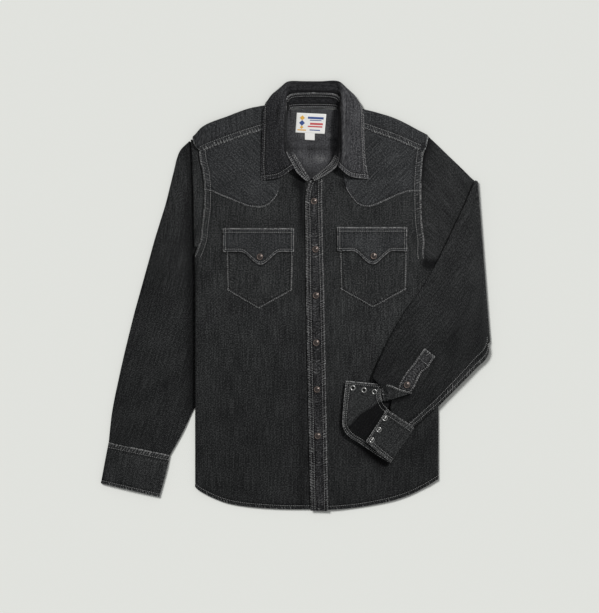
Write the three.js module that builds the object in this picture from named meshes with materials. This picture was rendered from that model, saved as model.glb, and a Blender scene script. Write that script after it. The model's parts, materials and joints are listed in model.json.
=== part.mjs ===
// Western snap shirt in washed black denim, laid on its back on a flat surface.
// Millimetres. X runs to the right of the shirt as it is looked down on, Y from hem to collar,
// Z up from the surface that it lies on. Left and right are those of the onlooker.
import * as THREE from 'three';

// Driving dimensions
const CLOTH = 1.1;                // wall of one layer of denim
const COLLAR_CLOTH = 1.4;         // wall of the collar and its stand, two plies
const SEAM_GAP = 0.3;             // air between pieces that lie on each other
const LAYER = CLOTH + SEAM_GAP;   // rise from one layer's middle to the next one's
const BACK_LEVEL = CLOTH / 2;     // middle of the layer that rests on the surface
const FRONT_LEVEL = 4.2;          // middle of the front panels over the back
const SIDE_FOLD = 2.6;            // radius of the soft fold down each side of the body
const SIDE_WRAP = 45;             // width of front that is tucked under each side
const SIDE_SOFTNESS = 42;         // width over which a front rises to its side fold
const SHOULDER_FOLD = 3.2;        // radius of the fold along the shoulders
const SLEEVE_LIFT = 3.5;          // the body's rise over the sleeve that lies under it
const LIFT_REACH = 16;            // how far the full rise goes on past that sleeve's edge
const LIFT_SLOPE = 62;            // width of the slope down from that rise
const LAP_FROM = 62;              // where the right front begins to sink from its lap over the left
const LAP_TO = 120;               // where it lies as low as the left front does
const UNDERARM = 40;              // height of the right armhole's foot, where the side fold ends
const CALM_EDGE = 10;             // margin along a side fold that has no folds of its own
const PLACKET_WIDTH = 31;         // placket strip down the front edge
const SNAP_CAP = 11;              // diameter of a snap's cap
const SNAP_SOCKET = 10;           // diameter of the open cuff's sockets and studs
const SHIRT_BOTTOM = -387.5;      // lowest point of the placket's end

// Left and right edges of the body, by height
const BODY_LEFT = [
  { y: 290, x: -188 }, { y: 172, x: -183.5 }, { y: 64, x: -181 }, { y: -60, x: -180 }, { y: -345, x: -180 },
];
const BODY_RIGHT = [
  { y: 290, x: 300 }, { y: 110, x: 300 }, { y: 46, x: 255 }, { y: -100, x: 256.5 }, { y: -345, x: 256.5 },
];
// Inner edge of the left sleeve, which lies under the body down to y = -197
const TUCKED_EDGE = [
  { y: 300, x: -170 }, { y: 280, x: -150 }, { y: 244, x: -125 }, { y: 181, x: -103.5 }, { y: 127, x: -93 },
  { y: 71, x: -85.5 }, { y: 21, x: -93 }, { y: -31, x: -109 }, { y: -85, x: -129 }, { y: -147, x: -156 },
  { y: -197, x: -179 }, { y: -286, x: -240 },
];

const group = new THREE.Group();
const denim = (color) => new THREE.MeshStandardMaterial({ color, roughness: 0.92, metalness: 0 });
const frontDenim = denim(0x2b2c2d);
const yokeDenim = denim(0x323335);
const collarDenim = denim(0x3a3b3d);
const trimDenim = denim(0x414243);
const capMetal = new THREE.MeshStandardMaterial({ color: 0x4a4038, roughness: 0.35, metalness: 0.9 });
const silverMetal = new THREE.MeshStandardMaterial({ color: 0x9a9a98, roughness: 0.3, metalness: 0.95 });
const labelCloth = new THREE.MeshStandardMaterial({ color: 0xe9e7e2, roughness: 0.8, metalness: 0 });

const clamp = (value) => Math.min(1, Math.max(0, value));
const mix = (a, b, t) => a + (b - a) * t;

function ease(from, to, value) {
  const t = clamp((value - from) / (to - from));
  return t * t * (3 - 2 * t);
}

// Value of a table of { y, x } rows, whose y falls from row to row
function edgeAt(table, y) {
  if (y >= table[0].y) return table[0].x;
  for (let k = 1; k < table.length; k += 1) {
    const above = table[k - 1];
    const below = table[k];
    if (y >= below.y) return mix(below.x, above.x, (y - below.y) / (above.y - below.y));
  }
  return table[table.length - 1].x;
}

// Smooth curve through points, read by its share of the length
function curve(points) {
  const vectors = points.map(([x, y, z = 0]) => new THREE.Vector3(x, y, z));
  const spline = new THREE.CatmullRomCurve3(vectors, false, 'centripetal');
  return (t) => spline.getPointAt(clamp(t));
}

function evenSteps(count) {
  return Array.from({ length: count + 1 }, (unused, k) => k / count);
}

// Turns a grid of points in the middle of the cloth into a closed wall.
// A round grid joins its last column to its first.
function clothWall(rows, thickness, round = false) {
  const high = rows.length;
  const wide = rows[0].length;
  const at = (i, j) => {
    const column = round ? (i + wide) % wide : Math.min(wide - 1, Math.max(0, i));
    return rows[Math.min(high - 1, Math.max(0, j))][column];
  };
  const positions = [];
  for (const side of [1, -1]) {
    for (let j = 0; j < high; j += 1) {
      for (let i = 0; i < wide; i += 1) {
        const across = at(i + 1, j).clone().sub(at(i - 1, j));
        const along = at(i, j + 1).clone().sub(at(i, j - 1));
        const normal = across.cross(along).normalize();
        const point = at(i, j).clone().addScaledVector(normal, side * thickness / 2);
        positions.push(point.x, point.y, point.z);
      }
    }
  }
  const under = wide * high;
  const index = [];
  const name = (i, j) => j * wide + (i % wide);
  const spans = round ? wide : wide - 1;
  for (let j = 0; j < high - 1; j += 1) {
    for (let i = 0; i < spans; i += 1) {
      const a = name(i, j);
      const b = name(i + 1, j);
      const c = name(i + 1, j + 1);
      const d = name(i, j + 1);
      index.push(a, b, c, a, c, d);
      index.push(under + a, under + c, under + b, under + a, under + d, under + c);
    }
  }
  const rim = (a, b) => index.push(under + a, under + b, b, under + a, b, a);
  for (let i = 0; i < spans; i += 1) {
    rim(name(i, 0), name(i + 1, 0));
    rim(name(i + 1, high - 1), name(i, high - 1));
  }
  for (let j = 0; j < high - 1 && !round; j += 1) {
    rim(name(wide - 1, j), name(wide - 1, j + 1));
    rim(name(0, j + 1), name(0, j));
  }
  const geometry = new THREE.BufferGeometry();
  geometry.setAttribute('position', new THREE.Float32BufferAttribute(positions, 3));
  geometry.setIndex(index);
  return geometry;
}

function addMesh(name, geometry, material) {
  geometry.computeVertexNormals();
  const mesh = new THREE.Mesh(geometry, material);
  mesh.name = name;
  group.add(mesh);
  return mesh;
}

// Four-sided piece of a flat pattern between its edges: hem to top is v, across is u
function pattern(hem, top, start, side) {
  return (u, v) => {
    const point = hem(u).multiplyScalar(1 - v).addScaledVector(top(u), v);
    point.addScaledVector(start(v), 1 - u).addScaledVector(side(v), u);
    point.addScaledVector(hem(0), -(1 - u) * (1 - v)).addScaledVector(hem(1), -u * (1 - v));
    point.addScaledVector(top(0), -(1 - u) * v).addScaledVector(top(1), -u * v);
    return point;
  };
}

// Soft folds of the fronts: a line, its half width and its height
const FRONT_FOLDS = [
  { from: [-140, -90], to: [-60, -330], half: 34, height: 0.8 },
  { from: [-30, -60], to: [-10, -340], half: 32, height: -0.7 },
  { from: [-150, -230], to: [-110, -370], half: 30, height: -0.6 },
  { from: [90, -60], to: [70, -350], half: 34, height: 0.9 },
  { from: [130, -150], to: [110, -370], half: 30, height: -0.6 },
  { from: [190, -280], to: [180, -370], half: 30, height: 0.7 },
  { from: [-60, 150], to: [-20, 30], half: 32, height: 0.5 },
  { from: [205, 100], to: [190, -40], half: 30, height: -0.6 },
];

// Height of a set of soft folds at a point
function foldHeight(folds, x, y) {
  let height = 0;
  for (const fold of folds) {
    const dx = fold.to[0] - fold.from[0];
    const dy = fold.to[1] - fold.from[1];
    const t = clamp(((x - fold.from[0]) * dx + (y - fold.from[1]) * dy) / (dx * dx + dy * dy));
    const away = Math.hypot(x - fold.from[0] - t * dx, y - fold.from[1] - t * dy);
    height += fold.height * Math.exp(-((away / fold.half) ** 2));
  }
  return height;
}

// How far the body is raised by the sleeve that is tucked under its left side
function sleeveLift(x, y) {
  const edge = edgeAt(TUCKED_EDGE, y) + LIFT_REACH;
  return SLEEVE_LIFT * (1 - ease(edge, edge + LIFT_SLOPE, x));
}

// Height of the middle of a front between its side folds
function frontHeight(x, y) {
  const left = edgeAt(BODY_LEFT, y);
  const right = edgeAt(BODY_RIGHT, y);
  const crest = BACK_LEVEL + 2 * SIDE_FOLD - FRONT_LEVEL;
  const belowArmhole = 1 - ease(UNDERARM, 3 * UNDERARM, y);
  const leftRise = 1 - ease(left + SIDE_FOLD, left + SIDE_SOFTNESS, x);
  const rightRise = ease(right - SIDE_SOFTNESS, right - SIDE_FOLD, x) * belowArmhole;
  const fromLeft = ease(left + CALM_EDGE, left + 6 * CALM_EDGE, x);
  const fromRight = 1 - ease(right - 6 * CALM_EDGE, right - CALM_EDGE, x);
  const folds = fromLeft * fromRight * foldHeight(FRONT_FOLDS, x, y);
  return FRONT_LEVEL + sleeveLift(x, y) + crest * Math.max(leftRise, rightRise) + folds;
}

// Lays a point of the flat pattern on the body: past a side fold it turns round and under
function onBody(x, y, over = 0, rise = 0) {
  const left = edgeAt(BODY_LEFT, y) + SIDE_FOLD;
  const right = edgeAt(BODY_RIGHT, y) - SIDE_FOLD;
  const turn = Math.PI * SIDE_FOLD;
  const sign = x < left ? -1 : 1;
  const line = sign < 0 ? left : right;
  const past = sign * (x - line);
  if (past <= 0) return new THREE.Vector3(x, y, frontHeight(x, y) + rise + over);
  const ground = BACK_LEVEL + sleeveLift(line, y);
  if (past < turn) {
    const angle = past / SIDE_FOLD;
    const reach = SIDE_FOLD + over;
    const z = ground + SIDE_FOLD + reach * Math.cos(angle);
    return new THREE.Vector3(line + sign * reach * Math.sin(angle), y, z);
  }
  const under = line - sign * (past - turn);
  return new THREE.Vector3(under, y, BACK_LEVEL + sleeveLift(under, y) - over);
}

function bodyPiece(name, cut, across, along, options = {}) {
  const { over = 0, rise = () => 0, material = frontDenim, thickness = CLOTH } = options;
  const rows = along.map((v) => across.map((u) => {
    const flat = cut(u, v);
    return onBody(flat.x, flat.y, over, rise(flat.x, flat.y));
  }));
  return addMesh(name, clothWall(rows, thickness), material);
}

// Columns of a front: even up to the side fold, close round it, then the part tucked under
const FOLD_START = 0.815;         // share of a front's width where its side fold starts
const FOLD_END = 0.85;            // and where it ends

function frontColumns() {
  const flat = evenSteps(10).map((t) => t * FOLD_START);
  const bend = [0.25, 0.5, 0.75, 1].map((t) => mix(FOLD_START, FOLD_END, t));
  return [...flat, ...bend, mix(FOLD_END, 1, 0.5), 1];
}

// The right front laps over the left one, under the placket
const lapRise = (x) => LAYER * (1 - ease(LAP_FROM, LAP_TO, x));

const FRONT_ROWS = 24;

function fronts() {
  const seam = SIDE_WRAP + SIDE_FOLD;
  const leftCut = pattern(
    curve([[54, -384], [26, -384], [-15, -384], [-57, -382], [-98, -378], [-125, -372.5], [-153, -361.5],
      [-175, -349], [-190, -336], [-180 - seam, -318]]),
    curve([[54, 202], [36, 203], [20, 212], [12, 229], [4, 242], [-8, 258], [-18, 262], [-38, 224],
      [-66, 190], [-110, 192], [-152, 202], [-163, 203]]),
    curve([[54, -384], [54, 202]]),
    curve([[-180 - seam, -318], [-180 - seam, -140], [-180 - seam, -30],
      [-180 - seam, 14], [-206, 45], [-190, 59],
      [-181.5, 71], [-177, 82], [-171, 100], [-168, 127], [-164.5, 154], [-163.5, 181], [-163, 203]]),
  );
  bodyPiece('front_left', leftCut, frontColumns(), evenSteps(FRONT_ROWS));
  const rightCut = pattern(
    curve([[28.5, -384.5], [60, -385], [110, -381], [148, -374.5], [178, -367.5], [208, -357], [238, -341.5],
      [257, -330], [256.5 + seam, -312]]),
    curve([[27, 203], [38, 213], [52, 226], [65, 240], [73, 256], [76, 262], [98, 218], [125, 190],
      [165, 194], [210, 203], [226, 204]]),
    curve([[28.5, -384.5], [20.5, 10], [19.6, 118], [19.6, 179], [23, 197], [27, 203]]),
    curve([[256.5 + seam, -312], [256.5 + seam, -140], [256 + seam, -30],
      [255.5 + seam, 10], [281, 32], [262, 46], [252, 54],
      [242, 58.5], [232, 68], [231, 100], [227.5, 127], [226, 154], [225.5, 181], [226, 204]]),
  );
  bodyPiece('front_right', rightCut, frontColumns(), evenSteps(FRONT_ROWS), { rise: lapRise });
}

// Curved front yokes, which lap over the top of each front and meet the shoulder seam
function frontYokes() {
  const leftCut = pattern(
    curve([[-31, 188], [-35, 179], [-42, 170], [-50, 163], [-60, 159], [-76, 159], [-87, 161], [-100, 166],
      [-118, 173.5], [-136, 181], [-152, 188], [-163.5, 190]]),
    curve([[-21.5, 307], [-50, 302.5], [-80, 293.5], [-110, 284], [-140, 273], [-170, 262.5]]),
    curve([[-31, 188], [-28, 206], [-24, 243], [-19.5, 272], [-20, 290], [-21.5, 307]]),
    curve([[-163.5, 190], [-164.5, 208], [-167, 226], [-171.5, 244], [-170, 262.5]]),
  );
  const leftOptions = { over: LAYER, material: yokeDenim };
  bodyPiece('front_yoke_left', leftCut, evenSteps(12), evenSteps(8), leftOptions);
  const rightCut = pattern(
    curve([[91, 194], [96, 184.5], [103.5, 174], [111, 165.5], [120, 161], [130.5, 160], [141, 162],
      [152, 166.5], [170, 174.5], [188, 182.5], [204, 187], [225, 188]]),
    curve([[85.5, 307], [112, 305], [129, 301], [152, 293], [179, 283], [197, 276], [215, 267.5],
      [226.5, 261]]),
    curve([[91, 194], [88, 206], [84, 240], [81.5, 272], [82.5, 290], [85.5, 307]]),
    curve([[225, 188], [226, 217], [227.5, 242], [226.5, 261]]),
  );
  const rightOptions = { ...leftOptions, rise: lapRise };
  bodyPiece('front_yoke_right', rightCut, evenSteps(12), evenSteps(8), rightOptions);
}

// Placket strip on the free edge of the right front
function placket() {
  const cut = pattern(
    curve([[27.5, SHIRT_BOTTOM + 1], [27.5 + PLACKET_WIDTH, SHIRT_BOTTOM]]),
    curve([[26.5, 206], [48, 208]]),
    curve([[27.5, SHIRT_BOTTOM + 1], [19.5, 10], [18.5, 118], [18.5, 179], [22, 197], [26.5, 206]]),
    curve([[27.5 + PLACKET_WIDTH, SHIRT_BOTTOM], [51, 10], [49.5, 64], [48.5, 118], [47.5, 172], [48, 208]]),
  );
  const options = { over: LAYER, rise: lapRise, material: trimDenim };
  bodyPiece('placket', cut, evenSteps(3), evenSteps(30), options);
}

// Chest pockets with a pointed bottom, and their scalloped flaps
const POCKETS = [
  { side: 'left', inner: -5, outer: -124, mid: -66.5, top: 95, corner: 9.5, point: -23.5, slant: 2 },
  { side: 'right', inner: 80, outer: 200, mid: 139.5, top: 96, corner: 11, point: -21.5, slant: 1.5 },
];
const FLAPS = [
  { side: 'left', inner: -3.5, outer: -130, mid: -63, top: 120.5, edge: 79, dip: 23, half: 36 },
  { side: 'right', inner: 75.5, outer: 200, mid: 138.5, top: 122.5, edge: 80.5, dip: 24, half: 36 },
];

function pocketsAndFlaps() {
  for (const pocket of POCKETS) {
    const cut = (u, v) => {
      const x = mix(pocket.inner, pocket.outer, u);
      const reach = x > pocket.mid === pocket.inner > pocket.mid ? pocket.inner : pocket.outer;
      const toPoint = 1 - Math.abs((x - pocket.mid) / (reach - pocket.mid));
      const bottom = mix(pocket.corner, pocket.point, toPoint);
      const drawnIn = pocket.slant * Math.sign(pocket.mid - x) * Math.abs(2 * u - 1) * (1 - v);
      return new THREE.Vector3(x + drawnIn, mix(bottom, pocket.top, v), 0);
    };
    const rise = pocket.side === 'right' ? lapRise : () => 0;
    const options = { over: LAYER, rise };
    bodyPiece(`pocket_${pocket.side}`, cut, evenSteps(8), evenSteps(7), options);
  }
  for (const flap of FLAPS) {
    const cut = (u, v) => {
      const x = mix(flap.inner, flap.outer, u);
      const swell = clamp(1 - Math.abs(x - flap.mid) / flap.half);
      const bottom = flap.edge - flap.dip * ease(0, 1, swell);
      return new THREE.Vector3(x, mix(bottom, flap.top, v), 0);
    };
    const rise = flap.side === 'right' ? lapRise : () => 0;
    const options = { over: 2 * LAYER, rise, material: yokeDenim };
    bodyPiece(`flap_${flap.side}`, cut, evenSteps(14), evenSteps(4), options);
  }
}

// Back panel between the side seams, raised where the left sleeve lies under it
function backPanel() {
  const cut = pattern(
    curve([[210.5, -312], [180, -345], [120, -370], [38, -376], [-44, -370], [-104, -345], [-134.5, -318]]),
    curve([[218, 187.5], [30, 187.5], [-160, 187.5]]),
    curve([[210.5, -312], [210.5, -140], [208.5, -60], [207, 8], [220, 34], [236, 44], [229, 60], [224, 82],
      [221, 100], [218, 140], [218, 187.5]]),
    curve([[-134.5, -318], [-134.5, -140], [-134, 28], [-156, 51], [-169, 63], [-168, 90], [-163, 140],
      [-160, 187.5]]),
  );
  const rows = evenSteps(16).map((v) => evenSteps(12).map((u) => {
    const flat = cut(u, v);
    return new THREE.Vector3(flat.x, flat.y, BACK_LEVEL + sleeveLift(flat.x, flat.y));
  }));
  addMesh('back_panel', clothWall(rows, CLOTH), frontDenim);
}

// Back yoke, a row for each section across: where it starts on the back, its shoulder fold,
// and where its front edge lies over the front yoke. At the neck it stops short of the fold.
const YOKE_SECTIONS = [
  { start: -160, fold: [-181, 286], end: [-174, 259.5] },
  { start: -140, fold: [-165, 305], end: [-152, 266] },
  { start: -108, fold: [-125, 321.5], end: [-117, 279] },
  { start: -72, fold: [-80, 337.5], end: [-78, 292.5] },
  { start: -44, fold: [-50, 342], end: [-48, 301] },
  { start: -26, fold: [-28, 339.5], end: [-19, 309] },
  { start: -14, fold: [-14, 336], end: null, high: true },
  { start: -4, neck: [-5, 333.5] },
  { start: 12, neck: [12, 335.5] },
  { start: 31.5, neck: [31.5, 336] },
  { start: 51, neck: [51, 335.5] },
  { start: 67, neck: [68, 333.5] },
  { start: 77, fold: [78, 336], end: null, high: true },
  { start: 90, fold: [92, 339.5], end: [84, 309] },
  { start: 108, fold: [116, 337], end: [114, 303] },
  { start: 136, fold: [156, 326.5], end: [152, 290] },
  { start: 165, fold: [185, 316], end: [180, 280] },
  { start: 194, fold: [208, 304.5], end: [203, 270] },
  { start: 217.5, fold: [234, 289], end: [229, 258] },
];
const YOKE_SEAM = 188;            // height of the back yoke's lower seam
const NECK_RISE = 2;              // rise of the back neck edge to the collar stand
const NECK_FLAT = 295;            // height where that rise starts
const NECK_TOP = 336;             // height of the back neck edge

function yokeRow(section) {
  const floor = (x, y) => BACK_LEVEL + sleeveLift(x, y);
  if (section.neck) {
    const [x, y] = section.neck;
    return evenSteps(12).map((t) => {
      const rise = NECK_RISE * ease(NECK_FLAT, y, mix(YOKE_SEAM, y, t));
      const across = mix(section.start, x, t);
      return new THREE.Vector3(across, mix(YOKE_SEAM, y, t), floor(across, YOKE_SEAM) + rise);
    });
  }
  const [foldX, foldY] = section.fold;
  const points = evenSteps(6).map((t) => {
    const x = mix(section.start, foldX, t);
    const y = mix(YOKE_SEAM, foldY - SHOULDER_FOLD, t);
    return new THREE.Vector3(x, y, floor(x, y));
  });
  const ground = floor(foldX, foldY);
  const turns = section.high ? [0.1, 0.2, 0.3, 0.38, 0.46, 0.54] : [0.2, 0.4, 0.6, 0.8, 1];
  for (const turn of turns) {
    const angle = Math.PI * turn;
    const y = foldY - SHOULDER_FOLD + SHOULDER_FOLD * Math.sin(angle);
    points.push(new THREE.Vector3(foldX, y, ground + SHOULDER_FOLD * (1 - Math.cos(angle))));
  }
  if (section.end) {
    const [endX, endY] = section.end;
    const top = ground + 2 * SHOULDER_FOLD;
    const lap = frontHeight(endX, endY) + 2 * LAYER + SEAM_GAP + lapRise(endX) * (endX > 0 ? 1 : 0);
    points.splice(6, 1);
    for (const t of [0.5, 1]) {
      const y = mix(foldY - SHOULDER_FOLD, endY, t);
      points.push(new THREE.Vector3(mix(foldX, endX, t), y, mix(top, lap, ease(0, 1, t))));
    }
  }
  return points;
}

function backYoke() {
  addMesh('back_yoke', clothWall(YOKE_SECTIONS.map(yokeRow), CLOTH), yokeDenim);
}

// One ring of a flattened sleeve between its edges a and b. The layers lie apart along lift,
// twice the half gap from each other, and each may bow towards the wrist.
function sleeveRing(ring, topPoints, lowPoints) {
  const { a, b, lift, halfA, halfB, bowTop = 0, bowLow = 0, rise = () => 0, wrist } = ring;
  const points = [];
  const across = b.clone().sub(a);
  const width = across.length();
  across.normalize();
  const place = (share, side, half) => {
    const bow = (side > 0 ? bowTop : bowLow) * 4 * share * (1 - share);
    const point = a.clone().addScaledVector(across, mix(halfA, width - halfB, share));
    point.addScaledVector(lift, side * half);
    if (wrist) point.addScaledVector(wrist, bow);
    return point;
  };
  for (const share of evenSteps(topPoints)) {
    const half = mix(halfA, halfB, ease(0, 1, share));
    const point = place(share, 1, half);
    point.z += rise(point.x, point.y, share);
    points.push(point);
  }
  for (const angle of [45, 90, 135]) {
    const point = b.clone().addScaledVector(across, halfB * (Math.sin(angle * Math.PI / 180) - 1));
    points.push(point.addScaledVector(lift, halfB * Math.cos(angle * Math.PI / 180)));
  }
  for (const share of evenSteps(lowPoints)) {
    points.push(place(1 - share, -1, mix(halfB, halfA, ease(0, 1, share))));
  }
  for (const angle of [135, 90, 45]) {
    const point = a.clone().addScaledVector(across, halfA * (1 - Math.sin(angle * Math.PI / 180)));
    points.push(point.addScaledVector(lift, halfA * Math.cos(angle * Math.PI / 180)));
  }
  return points;
}

// Left sleeve: its outer edge and the inner edge that lies under the body, a row for each section
const LEFT_SLEEVE = [
  { outer: [-191, 277], inner: [-133, 250] },
  { outer: [-206, 262], inner: [-122, 232] },
  { outer: [-213, 246], inner: [-115, 214] },
  { outer: [-217, 229.5], inner: [-108, 195] },
  { outer: [-225, 197], inner: [-101, 162] },
  { outer: [-233, 165], inner: [-93, 127] },
  { outer: [-243, 132.5], inner: [-88, 99] },
  { outer: [-253, 100], inner: [-85.5, 71] },
  { outer: [-262, 67.5], inner: [-88, 46] },
  { outer: [-271, 35], inner: [-93, 20] },
  { outer: [-280, 2.5], inner: [-101, -6] },
  { outer: [-289, -30], inner: [-110, -32] },
  { outer: [-297, -62], inner: [-119, -58] },
  { outer: [-305, -94.5], inner: [-131, -87] },
  { outer: [-312.5, -127], inner: [-143, -118] },
  { outer: [-319.5, -159], inner: [-157, -149] },
  { outer: [-325, -185], inner: [-170, -178] },
  { outer: [-330, -213], inner: [-186, -210] },
  { outer: [-333, -239], inner: [-205, -249] },
  { outer: [-335.5, -264.2], inner: [-226.1, -286.8] },
];
// Soft folds across the left sleeve's upper layer
const SLEEVE_FOLDS = [
  { from: [-250, 60], to: [-200, 20], half: 16, height: 1.6 },
  { from: [-290, -40], to: [-215, -75], half: 15, height: -1.2 },
  { from: [-300, -90], to: [-225, -130], half: 15, height: 1.6 },
  { from: [-215, 200], to: [-245, 60], half: 13, height: 1.3 },
];

const TUCKED_HALF = 1;            // half the way between the sleeve's layers under the body
const OPEN_HALF = 2.2;            // the same where it lies free
const SLEEVE_HUMP = 2.6;          // rise of the free upper layer over its edges
const UNDER_EDGE = 5;             // how far inside the body's edge the sleeve starts to rise
const FREE_SLOPE = 32;            // width over which it rises
const FREE_FROM = -206;           // height where its inner edge leaves the body
const FREE_TO = -240;             // height where all of it lies free
const HUMP_START = 0.08;          // where the hump stands at the outer edge, in half waves
const HUMP_SPREAD = 1.6;          // and how many half waves it makes over the layer
const TOP_POINTS = 9;
const LOW_POINTS = 6;

function leftSleeveRow({ outer, inner }) {
  const free = ease(FREE_FROM, FREE_TO, inner[1]);
  const halfB = mix(TUCKED_HALF, OPEN_HALF, free);
  const rise = (x, y, share) => {
    const inside = edgeAt(BODY_LEFT, y) - UNDER_EDGE;
    const clear = Math.max(ease(inside, inside - FREE_SLOPE, x), free);
    const wave = Math.sin(Math.PI * clamp(share * HUMP_SPREAD + HUMP_START));
    const hump = SLEEVE_HUMP * wave + foldHeight(SLEEVE_FOLDS, x, y);
    const flatten = (1 - clear) * 2 * (mix(OPEN_HALF, halfB, ease(0, 1, share)) - TUCKED_HALF);
    return clear * Math.max(0, hump) - flatten;
  };
  const a = new THREE.Vector3(...outer, BACK_LEVEL + OPEN_HALF);
  const b = new THREE.Vector3(...inner, BACK_LEVEL + halfB);
  const lift = new THREE.Vector3(0, 0, 1);
  const points = sleeveRing({ a, b, lift, halfA: OPEN_HALF, halfB, rise }, TOP_POINTS, LOW_POINTS);
  const firstLow = TOP_POINTS + 4;
  points.forEach((point, k) => {
    const rests = k >= firstLow && k <= firstLow + LOW_POINTS;
    point.z = rests ? BACK_LEVEL : Math.max(BACK_LEVEL, point.z);
  });
  return points;
}

function leftSleeve() {
  addMesh('sleeve_left', clothWall(LEFT_SLEEVE.map(leftSleeveRow), CLOTH, true), frontDenim);
}

// Head of the left sleeve: from under the armhole seam out to the body's edge, round and under
const SLEEVE_HEAD = [
  { inner: [-177, 264], edge: -187, y: 272 },
  { inner: [-167, 247], edge: -186.5, y: 258 },
  { inner: [-160, 226], edge: -185.5, y: 240 },
  { inner: [-156.5, 205], edge: -184.5, y: 208 },
  { inner: [-155.5, 181], edge: -183.5, y: 181 },
  { inner: [-156.5, 154], edge: -183, y: 154 },
  { inner: [-160, 127], edge: -182.5, y: 127 },
  { inner: [-163, 102], edge: -182, y: 104 },
  { inner: [-169, 86], edge: -181.5, y: 88 },
];
const HEAD_FOLD = 1.5;            // radius of the head's fold at the body's edge
const HEAD_UNDER = 5;             // how far it goes on under that fold

function leftSleeveHead() {
  const rows = SLEEVE_HEAD.map((row) => {
    const ground = BACK_LEVEL + SLEEVE_LIFT;
    const line = row.edge + HEAD_FOLD;
    const [x, y] = row.inner;
    const lap = frontHeight(x, y) - LAYER;
    const points = evenSteps(3).map((t) => {
      const z = mix(lap, ground + 2 * HEAD_FOLD, t);
      return new THREE.Vector3(mix(x, line, t), mix(y, row.y, t), z);
    });
    for (const turn of [Math.PI / 4, Math.PI / 2, 3 * Math.PI / 4]) {
      const z = ground + HEAD_FOLD + HEAD_FOLD * Math.cos(turn);
      points.push(new THREE.Vector3(line - HEAD_FOLD * Math.sin(turn), row.y, z));
    }
    for (const t of [0, 0.5, 1]) points.push(new THREE.Vector3(line + t * HEAD_UNDER, row.y, ground));
    return points;
  });
  addMesh('sleeve_left_head', clothWall(rows, CLOTH), frontDenim);
}

// Right sleeve, a row for each section from the armhole to the cuff. It runs out over the surface,
// is folded back on itself at the crease, and its lower half lies on the body.
// turn is the fold's angle: 0 lies flat, 180 is folded over.
const RIGHT_SLEEVE = [
  { upper: [240, 284.5], under: [231, 72], turn: 0, bow: -15 },
  { upper: [255, 270.5], under: [256, 51], turn: 0, bow: -9 },
  { upper: [275, 251], under: [281, 12], turn: 0, bow: -5 },
  { upper: [297, 230], under: [306, -28], turn: 0, bow: -2 },
  { upper: [314, 213], under: [331, -61], turn: 0, bow: 0 },
  { upper: [322, 206], under: [343.5, -79], turn: 0, bow: 0 },
  { upper: [323, 205], under: [344, -82], turn: 45, bow: 0 },
  { upper: [323, 205], under: [345.2, -84], turn: 90, bow: 0 },
  { upper: [323, 205], under: [344, -86], turn: 135, bow: 0 },
  { upper: [321.5, 203], under: [343, -89], turn: 180, bow: 0 },
  { upper: [303.5, 161], under: [345, -102], turn: 180, bow: 0 },
  { upper: [287, 127], under: [340, -115], turn: 180, bow: 0 },
  { upper: [272.5, 96], under: [327, -128], turn: 180, bow: 0 },
  { upper: [249, 49.5], under: [310.5, -145], turn: 180, bow: 0 },
  { upper: [224, 8], under: [292.5, -163], turn: 180, bow: 0 },
  { upper: [202.5, -21], under: [274.5, -181], turn: 180, bow: 0 },
  { upper: [177.5, -62], under: [256.5, -199], turn: 180, bow: 0 },
  { upper: [161, -93], under: [240, -213.5], turn: 180, bow: 0 },
  { upper: [147, -123], under: [226, -226.5], turn: 180, bow: 2 },
  { upper: [137.5, -146], under: [211.5, -238.5], turn: 180, bow: 4 },
];
const SLEEVE_OVER = 8.6;          // middle of the folded-over sleeve above the surface
const SLEEVE_HALF = 1;            // half the way between its two layers
const MOUTH_HALF = 2.9;           // the same at the open cuff
const MOUTH_ROWS = 4;             // rows over which it opens towards that cuff
const CREASE_REACH = 3.4;         // how far the fold stands out past the layers' corners
const SIDE_POINTS = 8;            // steps across each layer
const LYING_HUMP = 0.9;           // rise of the part that lies flat
const LYING_FROM = 235;           // where that rise starts
const LYING_TO = 280;             // where it is full
const HIDDEN_BOW = 3.5;           // how much further the mouth's hidden layer bows
const FOLDED_HUMP = 1.6;          // rise of the folded-over part
const OUTWARD = new THREE.Vector3(1, 0.08, 0).normalize();
const TO_CREASE = new THREE.Vector3(1, 0, 0);
const TO_CUFF = new THREE.Vector3(-0.78, -0.62, 0);
const OVER_FOLDS = [
  { from: [290, 60], to: [240, -90], half: 20, height: 1.8 },
  { from: [325, 60], to: [300, -90], half: 16, height: 1.3 },
  { from: [250, 0], to: [200, -110], half: 16, height: 1.5 },
  { from: [300, -60], to: [235, -170], half: 15, height: -0.9 },
];

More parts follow.
